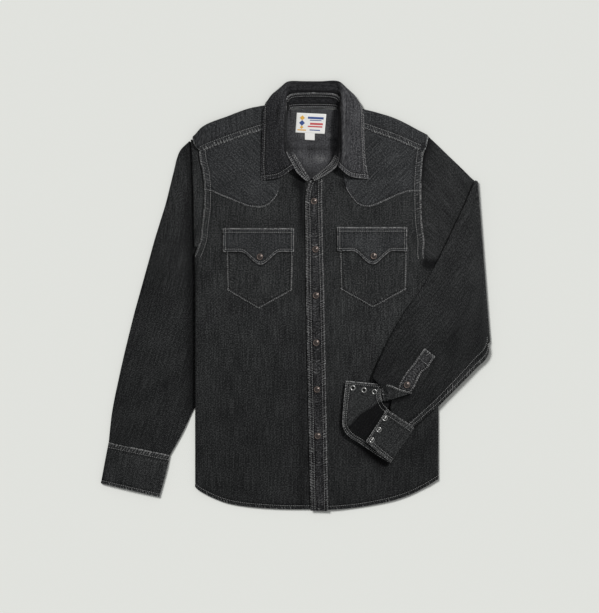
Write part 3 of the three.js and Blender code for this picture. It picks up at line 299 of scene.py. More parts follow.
def denim(name, dark, body, light, inside):
    """Washed black cotton denim, a 3/1 twill: matt, with pale flecks of weft, streaks along the warp,
    cloudy fading, pale worn ridges, and darkening that is painted shade, beside the seams partly
    less worn cloth"""
    made, tree, shader = material(name)
    cut = add(tree, "ShaderNodeAttribute", attribute_name="cut").outputs["Vector"]
    wear_and_shade = add(tree, "ShaderNodeAttribute", attribute_name="wear_and_shade").outputs["Fac"]
    inner = add(tree, "ShaderNodeAttribute", attribute_name="inside").outputs["Fac"]
    threads = add(tree, "ShaderNodeMapping", {
        "Vector": cut, "Scale": (1 / (WARP_PITCH * MM), 1 / (STREAK * MM), 1)})
    streak = add(tree, "ShaderNodeTexNoise", {
        "Vector": threads.outputs[0], "Scale": 1, "Detail": 3, "Roughness": 0.6})
    fleck = add(tree, "ShaderNodeTexNoise", {
        "Vector": cut, "Scale": 1 / (FLECK * MM), "Detail": 2, "Roughness": 0.7})
    cloud = add(tree, "ShaderNodeTexNoise", {
        "Vector": cut, "Scale": 1 / (CLOUD * MM), "Detail": 4, "Roughness": 0.55})
    slope = add(tree, "ShaderNodeMapping", {"Vector": cut, "Rotation": (0, 0, math.radians(27))})
    twill = add(tree, "ShaderNodeTexWave", {
        "Vector": slope.outputs[0], "Scale": math.pi / 10 / (TWILL_PITCH * MM),
        "Distortion": 2.5, "Detail": 2, "Detail Scale": 2}, bands_direction="Y")
    grain = add(tree, "ShaderNodeMath", {
        0: streak.outputs["Fac"], 1: STREAK_SHARE, 2: 0}, operation="MULTIPLY_ADD")
    grain = add(tree, "ShaderNodeMath", {
        0: fleck.outputs["Fac"], 1: FLECK_SHARE, 2: grain.outputs[0]}, operation="MULTIPLY_ADD")
    ribbed = add(tree, "ShaderNodeMath", {
        0: twill.outputs["Fac"], 1: TWILL_SHARE, 2: grain.outputs[0]}, operation="MULTIPLY_ADD")
    tone = add(tree, "ShaderNodeMath", {
        0: cloud.outputs["Fac"], 1: CLOUD_SHARE, 2: ribbed.outputs[0]}, operation="MULTIPLY_ADD")
    ramp = add(tree, "ShaderNodeValToRGB", {"Fac": tone.outputs[0]})
    stops = ramp.color_ramp.elements
    stops[0].position, stops[0].color = DARK_AT, linear(dark)
    stops[1].position, stops[1].color = LIGHT_AT, linear(light)
    middle = stops.new(BODY_AT)
    middle.color = linear(body)
    speckle = add(tree, "ShaderNodeMapRange", {
        "Value": grain.outputs[0], "From Min": 0.5, "From Max": 0.85})
    inner_tone = add(tree, "ShaderNodeMix", {
        0: speckle.outputs[0], 6: linear(inside, INNER_RANGE[0]),
        7: linear(inside, INNER_RANGE[1])}, data_type="RGBA")
    turned = add(tree, "ShaderNodeMix", {
        0: inner, 6: ramp.outputs["Color"], 7: inner_tone.outputs[2]}, data_type="RGBA")

    pulled = add(tree, "ShaderNodeSeparateXYZ", {
        "Vector": add(tree, "ShaderNodeAttribute", attribute_name="puckers").outputs["Vector"]})
    along = add(tree, "ShaderNodeMath", {
        0: pulled.outputs["X"], 1: PUCKER_SLANT, 2: pulled.outputs["Y"]}, operation="MULTIPLY_ADD")
    aslant = add(tree, "ShaderNodeCombineXYZ", {"X": along.outputs[0], "Y": pulled.outputs["X"]})
    tick = add(tree, "ShaderNodeTexWave", {
        "Vector": aslant.outputs[0], "Scale": math.pi / 10 / (PUCKER_PITCH * MM), "Distortion": 3.4,
        "Detail": 1, "Detail Scale": 1 / (6 * MM)}, bands_direction="X")
    tick = add(tree, "ShaderNodeMapRange", {
        "Value": tick.outputs["Fac"], "From Min": 0.15, "From Max": 0.95, "To Min": -1, "To Max": 1})
    patch = add(tree, "ShaderNodeTexNoise", {
        "Vector": aslant.outputs[0], "Scale": 1 / (PUCKER_PATCH * MM), "Detail": 1})
    patch = add(tree, "ShaderNodeMapRange", {
        "Value": patch.outputs["Fac"], "From Min": 0.35, "From Max": 0.65, "To Min": 0, "To Max": 1.3})
    pull = add(tree, "ShaderNodeMath", {
        0: patch.outputs[0], 1: pulled.outputs["Z"]}, operation="MULTIPLY")
    roped = add(tree, "ShaderNodeMath", {0: tick.outputs[0], 1: pull.outputs[0]}, operation="MULTIPLY")
    wear_and_shade = add(tree, "ShaderNodeMath", {
        0: roped.outputs[0], 1: PUCKER_WEAR, 2: wear_and_shade}, operation="MULTIPLY_ADD").outputs[0]

    dash = add(tree, "ShaderNodeTexNoise", {
        "Vector": cut, "Scale": 1 / (DASH * MM), "Detail": 1, "Roughness": 0.6})
    ridge = add(tree, "ShaderNodeMapRange", {
        "Value": dash.outputs["Fac"], "From Min": 0.34, "From Max": 0.66, "To Min": 0.1, "To Max": 1.6})
    pale = add(tree, "ShaderNodeMath", {0: wear_and_shade, 1: ridge.outputs[0]}, operation="MULTIPLY",
               use_clamp=True)
    toned = add(tree, "ShaderNodeMix", {
        0: pale.outputs[0], 6: turned.outputs[2], 7: linear(WORN)}, data_type="RGBA")
    # Values below zero darken toward DEEP: painted shade, beside the seams partly less worn cloth
    deep = add(tree, "ShaderNodeMath", {0: wear_and_shade, 1: -DEEP_SHARE}, operation="MULTIPLY", use_clamp=True)
    shaded = add(tree, "ShaderNodeMix", {
        0: deep.outputs[0], 6: toned.outputs[2], 7: linear(DEEP)}, data_type="RGBA")
    height = add(tree, "ShaderNodeMath", {
        0: roped.outputs[0], 1: PUCKER_HEIGHT, 2: ribbed.outputs[0]}, operation="MULTIPLY_ADD")
    bump = add(tree, "ShaderNodeBump", {
        "Height": height.outputs[0], "Strength": 0.6, "Distance": BUMP_DEPTH * MM})
    wire(tree, shader, {
        "Base Color": shaded.outputs[2], "Normal": bump.outputs[0], "Roughness": 0.92,
        "Specular IOR Level": 0.08, "Sheen Weight": 0.03, "Sheen Roughness": 0.5})
    return made


body_denim = denim("washed_denim", "#131314", "#272828", "#4b4c4c", "#454547")

back_us = shares(350, 5)
back_vs = shares(560, 5, low=True)
back_cut = pattern(
    curve([(210.5, -312), (180, -345), (120, -370), (38, -376), (-44, -370), (-104, -345),
           (-134.5, -318)]),
    curve([(218, 187.5), (30, 187.5), (-160, 187.5)]),
    curve([(210.5, -312), (210.5, -140), (208.5, -60), (207, 8), (220, 34), (236, 44), (229, 60),
           (224, 82), (221, 100), (218, 140), (218, 187.5)]),
    curve([(-134.5, -318), (-134.5, -140), (-134, 28), (-156, 51), (-169, 63), (-168, 90),
           (-163, 140), (-160, 187.5)]),
    back_us, back_vs,
)
back_x, back_y = back_cut[..., 0], back_cut[..., 1]
back_rows = np.stack([back_x, back_y, BACK_LEVEL + sleeve_lift(back_x, back_y)], -1)
back = sew("back_cloth", "back_panel", back_rows, body_denim, back_cut, 0 * back_x,
           inner=-1)

# Fronts
# Two denim panels, each turned round the side fold to a side seam under the body. The right one
# laps over the left one. A narrow hem is turned up, and the armhole edges are felled over the sleeves.
FRONT_LEVEL = 4.2
SIDE_FOLD = 2.6
SIDE_WRAP = 45
SIDE_SOFTNESS = 42
CALM_EDGE = 10
UNDERARM = 40
LAP_FROM, LAP_TO = 62, 120
BODY_LEFT = [(290, -188), (172, -183.5), (64, -181), (-60, -180), (-345, -180)]
BODY_RIGHT = [(290, 300), (110, 300), (46, 255), (-100, 256.5), (-345, 256.5)]
# Soft folds: from x, y to x, y, half width, height
FRONT_FOLDS = [
    (-140, -90, -60, -330, 34, 0.8), (-30, -60, -10, -340, 32, -0.7), (-150, -230, -110, -370, 30, -0.6),
    (90, -60, 70, -350, 34, 0.9), (130, -150, 110, -370, 30, -0.6), (190, -280, 180, -370, 30, 0.7),
    (-60, 150, -20, 30, 32, 0.5), (205, 100, 190, -40, 30, -0.6),
]
# Finer ones that only show as light and shade
FRONT_CREASES = [
    (5, 170, 14, 60, 7, -1.1), (-8, 160, -2, 20, 9, 0.9), (70, 170, 62, 40, 9, 0.8),
    (66, -40, 60, -180, 12, 0.6), (-150, 20, -172, -60, 12, 0.8), (-168, 60, -120, -10, 10, 0.8),
    (-175, -80, -140, -160, 14, 0.7), (-100, -40, -95, -200, 18, 0.5), (180, -20, 230, -70, 10, -1.0),
    (214, 90, 228, 20, 8, 0.9), (150, -60, 95, -140, 15, 0.5), (-35, -150, -20, -300, 16, 0.5),
]


def creases(table, x, y, waver=6):
    """Height of a set of soft creases, each a little wavy"""
    x, y = x + waver * bumps(x, y, 55, 5), y + waver * bumps(x, y, 55, 6)
    height = np.zeros(np.broadcast(x, y).shape)
    for x0, y0, x1, y1, half, rise in table:
        dx, dy = x1 - x0, y1 - y0
        t = np.clip(((x - x0) * dx + (y - y0) * dy) / (dx * dx + dy * dy), 0, 1)
        away = np.hypot(x - x0 - t * dx, y - y0 - t * dy)
        height = height + rise * near(away, 0, half) * (1 - 0.5 * (2 * t - 1) ** 2)
    return height


def front_height(x, y):
    left, right = edge_at(BODY_LEFT, y), edge_at(BODY_RIGHT, y)
    crest = BACK_LEVEL + 2 * SIDE_FOLD - FRONT_LEVEL
    below_armhole = 1 - ease(UNDERARM, 3 * UNDERARM, y)
    left_rise = 1 - ease(left + SIDE_FOLD, left + SIDE_SOFTNESS, x)
    right_rise = ease(right - SIDE_SOFTNESS, right - SIDE_FOLD, x) * below_armhole
    calm = ease(left + CALM_EDGE, left + 6 * CALM_EDGE, x)
    calm = calm * (1 - ease(right - 6 * CALM_EDGE, right - CALM_EDGE, x))
    folds = calm * (creases(FRONT_FOLDS, x, y, 0) + 0.35 * bumps(x, y, 33, 11))
    folds = folds + ease(left, left + 14, x) * creases(FRONT_CREASES, x, y)
    return FRONT_LEVEL + sleeve_lift(x, y) + crest * np.maximum(left_rise, right_rise) + folds


def lap_rise(x):
    return LAYER * (1 - ease(LAP_FROM, LAP_TO, x))


def on_body(x, y, over=0, rise=0):
    """Lays points of the flat cut on the body: past a side fold they turn round and under"""
    left, right = edge_at(BODY_LEFT, y) + SIDE_FOLD, edge_at(BODY_RIGHT, y) - SIDE_FOLD
    sign = np.where(x < left, -1, 1)
    line = np.where(sign < 0, left, right)
    past, turn = sign * (x - line), math.pi * SIDE_FOLD
    angle, reach = np.clip(past, 0, turn) / SIDE_FOLD, SIDE_FOLD + over
    bent_x = line + sign * reach * np.sin(angle)
    bent_z = BACK_LEVEL + sleeve_lift(line, y) + SIDE_FOLD + reach * np.cos(angle)
    under = line - sign * (past - turn)
    low_z = BACK_LEVEL + sleeve_lift(under, y) - over
    x_laid = np.where(past <= 0, x, np.where(past < turn, bent_x, under))
    z_flat = front_height(x, y) + rise + over
    z_laid = np.where(past <= 0, z_flat, np.where(past < turn, bent_z, low_z))
    return np.stack([x_laid, y, z_laid], -1)


def seam(away, run, seed, rows=(2.5,), bead=0.35, rope=0.6, pale=0.85, reach=None):
    """A finished edge: its relief, its wear and painted shade, and its puckers' way across, way along and strength.
    away is the way from the edge, run the way along it, and rows the places of its stitch rows."""
    away, run = np.broadcast_arrays(away, run)
    relief = bead * near(away, 1.4, 1.5)
    wear_and_shade = pale * near(away, 0, 0.75) * (0.8 + 0.45 * bumps(run, 0, 5, seed))
    # The stitch rows and the cloth just inside them are darker: painted shade of the sunk rows, partly less worn cloth
    for row in rows:
        sunk = near(away, row, 0.9)
        relief = relief - 0.28 * sunk
        wear_and_shade = wear_and_shade - 0.3 * sunk
    wear_and_shade = wear_and_shade - 0.3 * near(away - rows[-1], 1.8, 2.5)
    strength = rope * near(away, 0, reach or rows[-1] + 3.5)
    return relief, wear_and_shade, (away, run, strength)


def faded(edge, share):
    relief, wear_and_shade, (away, run, strength) = edge
    return relief * share, wear_and_shade * share, (away, run, strength * share)


def joined(*edges):
    """Relief, wear and painted shade of all the finished edges of a piece, and the puckers of the nearest one"""
    puckers = np.array([np.broadcast_arrays(*edge[2]) for edge in edges])
    first = puckers[:, 0].argmin(0)
    nearest = np.take_along_axis(puckers, first[None, None], 0)[0]
    relief, wear_and_shade = (sum(edge[k] for edge in edges) for k in (0, 1))
    return relief, wear_and_shade, np.moveaxis(nearest, 0, -1)


stitch_rows = []


def stitch(name, side, inset, first=0.0, last=1.0, face="rows"):
    """Keeps a row of stitches at an inset from a side of a piece, between two shares of it"""
    rows = pieces[name][face]
    if side in ("hem", "top"):
        rows = rows.swapaxes(0, 1)
    if side in ("side", "top"):
        rows = rows[:, ::-1]
    way = lengths(rows)[0]
    line = np.array([[np.interp(inset, way[k], rows[k, :, c]) for c in range(3)]
                     for k in range(len(rows))])
    count = len(line) - 1
    stitch_rows.append(line[round(first * count):round(last * count) + 1])


fold_us = np.linspace(0.815, 0.85, 10)
front_us = np.concatenate([np.linspace(0, 0.815, 68)[:-1], fold_us, np.linspace(0.85, 0.955, 9)[1:-1],
                           1 - EDGE_STEPS[::-1] / 290])
front_vs = shares(590, 3.4, low=True)
wrap = SIDE_WRAP + SIDE_FOLD
left_cut = pattern(
    curve([(54, -384), (26, -384), (-15, -384), (-57, -382), (-98, -378), (-125, -372.5), (-153,
          -361.5),
           (-175, -349), (-190, -336), (-180 - wrap, -318)]),
    curve([(54, 202), (36, 203), (20, 212), (12, 229), (4, 242), (-8, 258), (-18, 262), (-38, 224),
           (-66, 190), (-110, 192), (-152, 202), (-163, 203)]),
    curve([(54, -384), (54, 202)]),
    curve([(-180 - wrap, -318), (-180 - wrap, -140), (-180 - wrap, -30), (-180 - wrap, 14), (-206, 45),
           (-190, 59), (-181.5, 71), (-177, 82), (-171, 100), (-168, 127), (-164.5, 154),
           (-163.5, 181), (-163, 203)]),
    front_us, front_vs,
)
right_cut = pattern(
    curve([(28.5, -384.5), (60, -385), (110, -381), (148, -374.5), (178, -367.5), (208, -357),
           (238, -341.5), (257, -330), (256.5 + wrap, -312)]),
    curve([(27, 203), (38, 213), (52, 226), (65, 240), (73, 256), (76, 262), (98, 218), (125, 190),
           (165, 194), (210, 203), (226, 204)]),
    curve([(28.5, -384.5), (20.5, 10), (19.6, 118), (19.6, 179), (23, 197), (27, 203)]),
    curve([(256.5 + wrap, -312), (256.5 + wrap, -140), (256 + wrap, -30), (255.5 + wrap, 10), (281, 32),
           (262, 46), (252, 54), (242, 58.5), (232, 68), (231, 100), (227.5, 127), (226, 154),
           (225.5, 181), (226, 204)]),
    front_us, front_vs,
)


def front_panel(name, node, cut, rise, seed, lean):
    """One front. Its wear also holds shade that no lamp casts: beside the placket, at the
    underarm, under the collar, below the open cuff and toward the hem."""
    x, y = cut[..., 0], cut[..., 1]
    rows = on_body(x, y, 0, rise)
    _, to_side, from_hem, _ = lengths(rows)
    relief, wear_and_shade, puckers = joined(
        seam(from_hem, x, seed, rows=(6,), rope=1.3, pale=0.4, reach=7),
        faded(seam(to_side, y, seed + 5, rows=(2, 11), rope=0.7, pale=0.75), ease(66, 86, y)))
    beside_placket = near(x, 11, 7) * (0.3 + 0.5 * ease(60, 160, y)) * (lean < 0)
    underarm = spot(x, y, (240, 57), (13, 11))
    under_collar = spot(x, y, (92, 200), (16, 14))
    under_collar = under_collar + spot(x, y, (4, 205), (12, 16))
    along_cuff, below_cuff = 0.83 * (x - 97) - 0.56 * (y + 252), -0.56 * (x - 97) - 0.83 * (y + 252)
    in_shadow = ease(6, 50, along_cuff) * (1 - ease(76, 96, along_cuff))
    wear_and_shade = wear_and_shade - 0.75 * in_shadow * ease(-12, -2,
                                          below_cuff) * (1 - ease(4, 26, below_cuff)) * (lean > 0)
    lower = 0.08 + 0.24 * ease(-20, -240, y) + 0.14 * ease(150, 230, x) * ease(-150, -280, y)
    wear_and_shade = wear_and_shade - beside_placket - 1.6 * underarm - 0.8 * under_collar - lower
    rows = rows + facing(rows) * (relief * lean)[..., None]
    made = sew(name, node, rows, body_denim, cut, wear_and_shade, inner=-lean, puckers=puckers)
    stitch(name, "hem", 6, 0.0, 0.84, face="under" if lean < 0 else "rows")
    for inset in (2, 11):
        stitch(name, "side", inset, 0.765, 0.99, face="under" if lean < 0 else "rows")


front_panel("left_front", "front_left", left_cut, 0, 21, -1)
front_panel("right_front", "front_right", right_cut, lap_rise(right_cut[..., 0]), 31, 1)

# Back yoke
# One layer of denim that lies under the neck opening, turns over the shoulders and laps the front
# yokes in a felled shoulder seam. At the neck it ends at the collar stand, its inside showing.
SHOULDER_FOLD = 3.2
YOKE_SEAM = 188
NECK_RISE = 2
NECK_FLAT = 295
YOKE_SECTIONS = [
    {"start": -160, "fold": (-181, 286), "end": (-174, 259.5)},
    {"start": -140, "fold": (-165, 305), "end": (-152, 266)},
    {"start": -108, "fold": (-125, 321.5), "end": (-117, 279)},
    {"start": -72, "fold": (-80, 337.5), "end": (-78, 292.5)},
    {"start": -44, "fold": (-50, 342), "end": (-48, 301)},
    {"start": -26, "fold": (-28, 339.5), "end": (-19, 309)},
    {"start": -14, "fold": (-14, 336)},
    {"start": -4, "neck": (-5, 333.5)},
    {"start": 12, "neck": (12, 335.5)},
    {"start": 31.5, "neck": (31.5, 336)},
    {"start": 51, "neck": (51, 335.5)},
    {"start": 67, "neck": (68, 333.5)},
    {"start": 77, "fold": (78, 336)},
    {"start": 90, "fold": (92, 339.5), "end": (84, 309)},
    {"start": 108, "fold": (116, 337), "end": (114, 303)},
    {"start": 136, "fold": (156, 326.5), "end": (152, 290)},
    {"start": 165, "fold": (185, 316), "end": (180, 280)},
    {"start": 194, "fold": (208, 304.5), "end": (203, 270)},
    {"start": 217.5, "fold": (234, 289), "end": (229, 258)},
]


def smooth(table, places):
    """A table of rows read between its rows, at places counted in rows"""
    knots = np.array(table, float)
    knots = np.concatenate([2 * knots[:1] - knots[1:2], knots, 2 * knots[-1:] - knots[-2:-1]])
    k = np.minimum(np.floor(places).astype(int), len(knots) - 4)
    t = (places - k).reshape(-1, *[1] * (knots.ndim - 1))
    p0, p1, p2, p3 = (knots[k + n] for n in range(4))
    bend = (3 * p1 - p0 - 3 * p2 + p3) * t**3 + (2 * p0 - 5 * p1 + 4 * p2 - p3) * t**2
    return p1 + 0.5 * (bend + (p2 - p0) * t)


def finer(grid, us, vs):
    """A grid of points read more closely: us along each of its rows, vs from row to row"""
    return smooth([curve(row)(us) for row in grid], vs * (len(grid) - 1))


def yoke_section(section):
    if "neck" in section:
        x, y = section["neck"]
        t = np.linspace(0, 1, 13)
        across, up = section["start"] + t * (x - section["start"]), YOKE_SEAM + t * (y - YOKE_SEAM)
        level = BACK_LEVEL + sleeve_lift(across, YOKE_SEAM) + NECK_RISE * ease(NECK_FLAT, y, up)
        return np.stack([across, up, level], -1)
    fold_x, fold_y = section["fold"]
    t = np.linspace(0, 1, 7)
    across = section["start"] + t * (fold_x - section["start"])
    up = YOKE_SEAM + t * (fold_y - SHOULDER_FOLD - YOKE_SEAM)
    points = [*np.stack([across, up, BACK_LEVEL + sleeve_lift(across, up)], -1)]
    ground = BACK_LEVEL + sleeve_lift(fold_x, fold_y)
    for turn in [0.2, 0.4, 0.6, 0.8, 1] if "end" in section else [0.1, 0.2, 0.3, 0.38, 0.46, 0.54]:
        angle = math.pi * turn
        points.append((fold_x, fold_y - SHOULDER_FOLD + SHOULDER_FOLD * math.sin(angle),
                       ground + SHOULDER_FOLD * (1 - math.cos(angle))))
    if "end" in section:
        end_x, end_y = section["end"]
        lap = front_height(end_x, end_y) + 2 * LAYER + SEAM_GAP + lap_rise(end_x) * (end_x > 0)
        points.pop(6)
        for t in (0.5, 1):
            level = ground + 2 * SHOULDER_FOLD
            points.append((fold_x + t * (end_x - fold_x),
                           fold_y - SHOULDER_FOLD + t * (end_y - fold_y + SHOULDER_FOLD),
                           level + (lap - level) * ease(0, 1, t)))
    return np.array(points, float)


def bias(cut, degrees):
    """The cut turned, so that its threads run aslant"""
    c, s = math.cos(math.radians(degrees)), math.sin(math.radians(degrees))
    return np.stack([c * cut[..., 0] - s * cut[..., 1], s * cut[..., 0] + c * cut[..., 1]], -1)


# Lighter than the body's denim: partly the cloth's own fading, partly painted light
yoke_denim = denim("washed_denim_yoke", "#18191a", "#2c2d2e", "#515253", "#464648")
yoke_grid = [yoke_section(section) for section in YOKE_SECTIONS]
yoke_rows = finer(yoke_grid, shares(180, 3, high=True), np.linspace(0, 1, 170))
over_front = ease(0.55, 0.75, np.linspace(0, 1, yoke_rows.shape[1]))[None, :]
# At each armhole the folded-over part reaches out over the sleeve's head, less so at its seam
near_seam = ease(0.8, 1, np.linspace(0, 1, yoke_rows.shape[1]))[None, :]
yoke_rows[..., 0] += over_front * ((5 - 4 * near_seam) * ease(208, 234, yoke_rows[:, -1:, 0])
                                   - (4 - 8 * near_seam) * (1 - ease(-172, -150, yoke_rows[:, -1:, 0])))
at_neck = (np.abs(yoke_rows[:, -1:, 0] - 31.5) < 49).astype(float)
from_start, to_end, from_left, to_right = lengths(yoke_rows)
shoulder = seam(to_end, yoke_rows[..., 0], 41, rows=(2, 9.5), rope=1.3, pale=0.75, reach=10)
arms = [seam(way, from_start, 43, rows=(3,), rope=0.5, pale=0.6) for way in (from_left, to_right)]
relief, wear_and_shade, puckers = joined(*(faded(edge, over_front * (1 - at_neck)) for edge in (shoulder, *arms)))
in_neck = 1 - over_front
yoke_y = yoke_rows[..., 1]
neck_crease = near(yoke_y, 264, 4) + 0.7 * near(yoke_y, 280, 5)
neck_crease = neck_crease * in_neck * (0.75 + 0.5 * bumps(yoke_rows[..., 0], yoke_y, 14, 44))
# Painted shade in the neck opening: in its creases, toward the bottom, along the stand at the top and at both sides
neck_shade = ease(250, 212, yoke_y) * 0.5 + 0.5 * ease(318, 334, yoke_y)
neck_shade = neck_shade + 0.55 * ease(60, 74, yoke_rows[..., 0])
neck_shade = neck_shade + 0.35 * ease(0, -14, yoke_rows[..., 0])
yoke_x = yoke_rows[..., 0]
inside_cloud = 0.2 * bumps(yoke_x, yoke_y, 24, 42) + 0.12 * bumps(yoke_x, yoke_y, 9, 45)
inside_cloud = inside_cloud * in_neck
yoke_rows = yoke_rows + facing(yoke_rows) * (relief + neck_crease - 0.3)[..., None]
yoke_rows[..., 2] = np.maximum(CLOTH / 2, yoke_rows[..., 2])
yoke_cut = np.stack([yoke_rows[..., 0], from_start], -1)
yoke = sew("back_yoke_cloth", "back_yoke", yoke_rows, yoke_denim, yoke_cut,
           wear_and_shade - 0.4 * neck_crease + inside_cloud - neck_shade * in_neck - 0.1 * over_front, inner=-1, puckers=puckers)
for inset in (2, 9.5):
    stitch("back_yoke_cloth", "side", inset, 0.02, 0.29)
    stitch("back_yoke_cloth", "side", inset, 0.73, 0.98)

# Front yokes
# Curved bias-cut pieces that lap over the top of each front, with a stitch row along the curve
left_yoke_cut = pattern(
    curve([(-31, 188), (-35, 179), (-42, 170), (-50, 163), (-60, 159), (-76, 159), (-87, 161),
           (-100, 166), (-118, 173.5), (-136, 181), (-152, 188), (-163.5, 190)]),
    curve([(-21.5, 307), (-50, 302.5), (-80, 293.5), (-110, 284), (-140, 273), (-170, 262.5)]),
    curve([(-31, 188), (-28, 206), (-24, 243), (-19.5, 272), (-20, 290), (-21.5, 307)]),
    curve([(-163.5, 190), (-164.5, 208), (-167, 226), (-171.5, 244), (-172.5, 262.5)]),
    shares(150, 2.6, high=True), shares(120, 2.6, low=True),
)
right_yoke_cut = pattern(
    curve([(91, 194), (96, 184.5), (103.5, 174), (111, 165.5), (120, 161), (130.5, 160), (141, 162),
           (152, 166.5), (170, 174.5), (188, 182.5), (204, 187), (225, 188)]),
    curve([(85.5, 307), (112, 305), (129, 301), (152, 293), (179, 283), (197, 276), (215, 267.5),
           (226.5, 261)]),
    curve([(91, 194), (88, 206), (84, 240), (81.5, 272), (82.5, 290), (85.5, 307)]),
    curve([(225, 188), (226, 217), (228, 242), (229.5, 261)]),
    shares(150, 2.6, high=True), shares(120, 2.6, low=True),
)


def front_yoke(name, node, cut, rise, seed, lean):
    rows = on_body(cut[..., 0], cut[..., 1], LAYER, rise)
    _, to_side, from_hem, _ = lengths(rows)
    relief, wear_and_shade, puckers = joined(
        seam(from_hem, cut[..., 0], seed, rows=(1.8,), rope=0.6, pale=0.85, reach=8),
        seam(to_side, cut[..., 1], seed + 4, rows=(2, 11), rope=0.8, pale=0.75))
    rows = rows + facing(rows) * (lean * relief)[..., None]
    made = sew(name, node, rows, yoke_denim, bias(cut, 45 * lean), wear_and_shade - 0.06,
               inner=-lean, puckers=puckers)
    face = "under" if lean < 0 else "rows"
    stitch(name, "hem", 1.8, 0.02, 1, face)
    for inset in (2, 11):
        stitch(name, "side", inset, 0.02, 0.94, face)


front_yoke("left_front_yoke", "front_yoke_left", left_yoke_cut, 0, 51, -1)
front_yoke("right_front_yoke", "front_yoke_right", right_yoke_cut,
           lap_rise(right_yoke_cut[..., 0]), 61, 1)

# Placket
# A strip down the free edge of the right front, with two stitch rows at each side. Washing has
# roped it all over and faded its ridges.
PLACKET_WIDTH = 31
SHIRT_BOTTOM = -387.5
placket_cut = pattern(
    curve([(27.5, SHIRT_BOTTOM + 1), (27.5 + PLACKET_WIDTH, SHIRT_BOTTOM)]),
    curve([(26.5, 206), (48, 208)]),
    curve([(27.5, SHIRT_BOTTOM + 1), (19.5, 10), (18.5, 118), (18.5, 179), (22, 197), (26.5, 206)]),
    curve([(27.5 + PLACKET_WIDTH, SHIRT_BOTTOM), (51, 10), (49.5, 64), (48.5, 118), (47.5, 172),
          (48, 208)]),
    shares(PLACKET_WIDTH, 1.4, low=True, high=True), shares(595, 1.7, low=True),
)
trim_denim = denim("washed_denim_trim", "#101011", "#29292a", "#5c5c5d", "#2c2c2e")
placket_x, placket_y = placket_cut[..., 0], placket_cut[..., 1]
placket_rows = on_body(placket_x, placket_y, LAYER, lap_rise(placket_x))
from_left, from_right, from_hem, _ = lengths(placket_rows)
relief, placket_wear_and_shade, puckers = joined(
    seam(from_left, placket_y, 71, rows=(2.7, 8), rope=1.2, pale=0.8, reach=16),
    seam(from_right, placket_y, 75, rows=(1.2, 6), rope=1.3, pale=0.6, reach=14))
placket_rows[..., 2] += relief + 0.2 * bumps(placket_x, placket_y, 9, 78)
# Its seams darken the stitch rows with painted shade; here it is paler at the hem's edge, uneven, darker overall and a
# little lighter toward the top
placket_wear_and_shade = placket_wear_and_shade + 0.5 * near(from_hem, 0, 1.2)
placket_wear_and_shade = placket_wear_and_shade + 0.26 * bumps(placket_x, placket_y, 7, 79) - 0.22
placket_wear_and_shade = placket_wear_and_shade + 0.06 * ease(-60, 60, placket_y)
placket = sew("front_placket", "placket", placket_rows, trim_denim, placket_cut,
              placket_wear_and_shade, puckers=puckers)
for side, inset in (("start", 2.7), ("start", 8), ("side", 1.2), ("side", 6)):
    stitch("front_placket", side, inset)

# Chest pockets and flaps
# Pockets with a pointed bottom, topstitched on, and scalloped two-ply flaps over them
POCKETS = [
    {"side": "left", "low": -124, "high": -5, "mid": -66.5, "top": 95, "corner": 9.5, "point": -23.5},
    {"side": "right", "low": 80, "high": 200, "mid": 139.5, "top": 96, "corner": 11, "point": -21.5},
]
FLAPS = [
    {"side": "left", "low": -130, "high": -3.5, "mid": -63, "top": 120.5, "edge": 79, "dip": 23},
    {"side": "right", "low": 75.5, "high": 200, "mid": 138.5, "top": 122.5, "edge": 80.5, "dip": 24},
]
POCKET_SLANT = 2
SCALLOP = 36


def level_piece(low, high, bottom, top, height):
    """Cut of a piece whose sides stand upright, over a shaped bottom edge"""
    u = shares(high - low, 2.4, low=True, high=True)[None, :]
    v = shares(height, 2.2, low=True, high=True)[:, None]
    x = low + u * (high - low) + 0 * v
    return np.stack([x, bottom(x) + v * (top - bottom(x))], -1), u, v


for k, pocket in enumerate(POCKETS):
    def pocket_bottom(x):
        reach = np.where(x < pocket["mid"], pocket["mid"] - pocket["low"],
                         pocket["high"] - pocket["mid"])
        to_point = 1 - np.abs(x - pocket["mid"]) / reach
        return pocket["corner"] + (pocket["point"] - pocket["corner"]) * to_point

    cut, u, v = level_piece(pocket["low"], pocket["high"], pocket_bottom, pocket["top"], 100)
    cut[..., 0] -= POCKET_SLANT * (2 * u - 1) * (1 - v)
    rise = lap_rise(cut[..., 0]) * k
    rows = on_body(cut[..., 0], cut[..., 1], LAYER, rise)
    to_left, to_right, from_hem, _ = lengths(rows)
    relief, wear_and_shade, puckers = joined(*(
        seam(away, run, seed + 20 * k, rows=(1.6,), rope=0.7, pale=0.7, reach=11)
        for away, run, seed in ((to_left, cut[..., 1], 81), (to_right, cut[..., 1], 85),
                                (from_hem, cut[..., 0], 89))))
    rows[..., 2] += relief + 0.25 * bumps(cut[..., 0], cut[..., 1], 18, 95 + k)
    side = pocket["side"]
    # Painted shadow of the flap's scalloped edge on the pocket
    under_flap = cut[..., 1] - FLAPS[k]["edge"]
    under_flap = under_flap + FLAPS[k]["dip"] * ease(
        0, 1, np.clip(1 - np.abs(cut[..., 0] - FLAPS[k]["mid"]) / SCALLOP, 0, 1))
    wear_and_shade = wear_and_shade - 0.06 - 1.0 * near(under_flap, 0, 3.2)
    made = sew(f"{side}_pocket", f"pocket_{side}", rows, body_denim, cut, wear_and_shade,
               puckers=puckers)
    for edge in ("start", "side", "hem"):
        stitch(f"{side}_pocket", edge, 1.6)

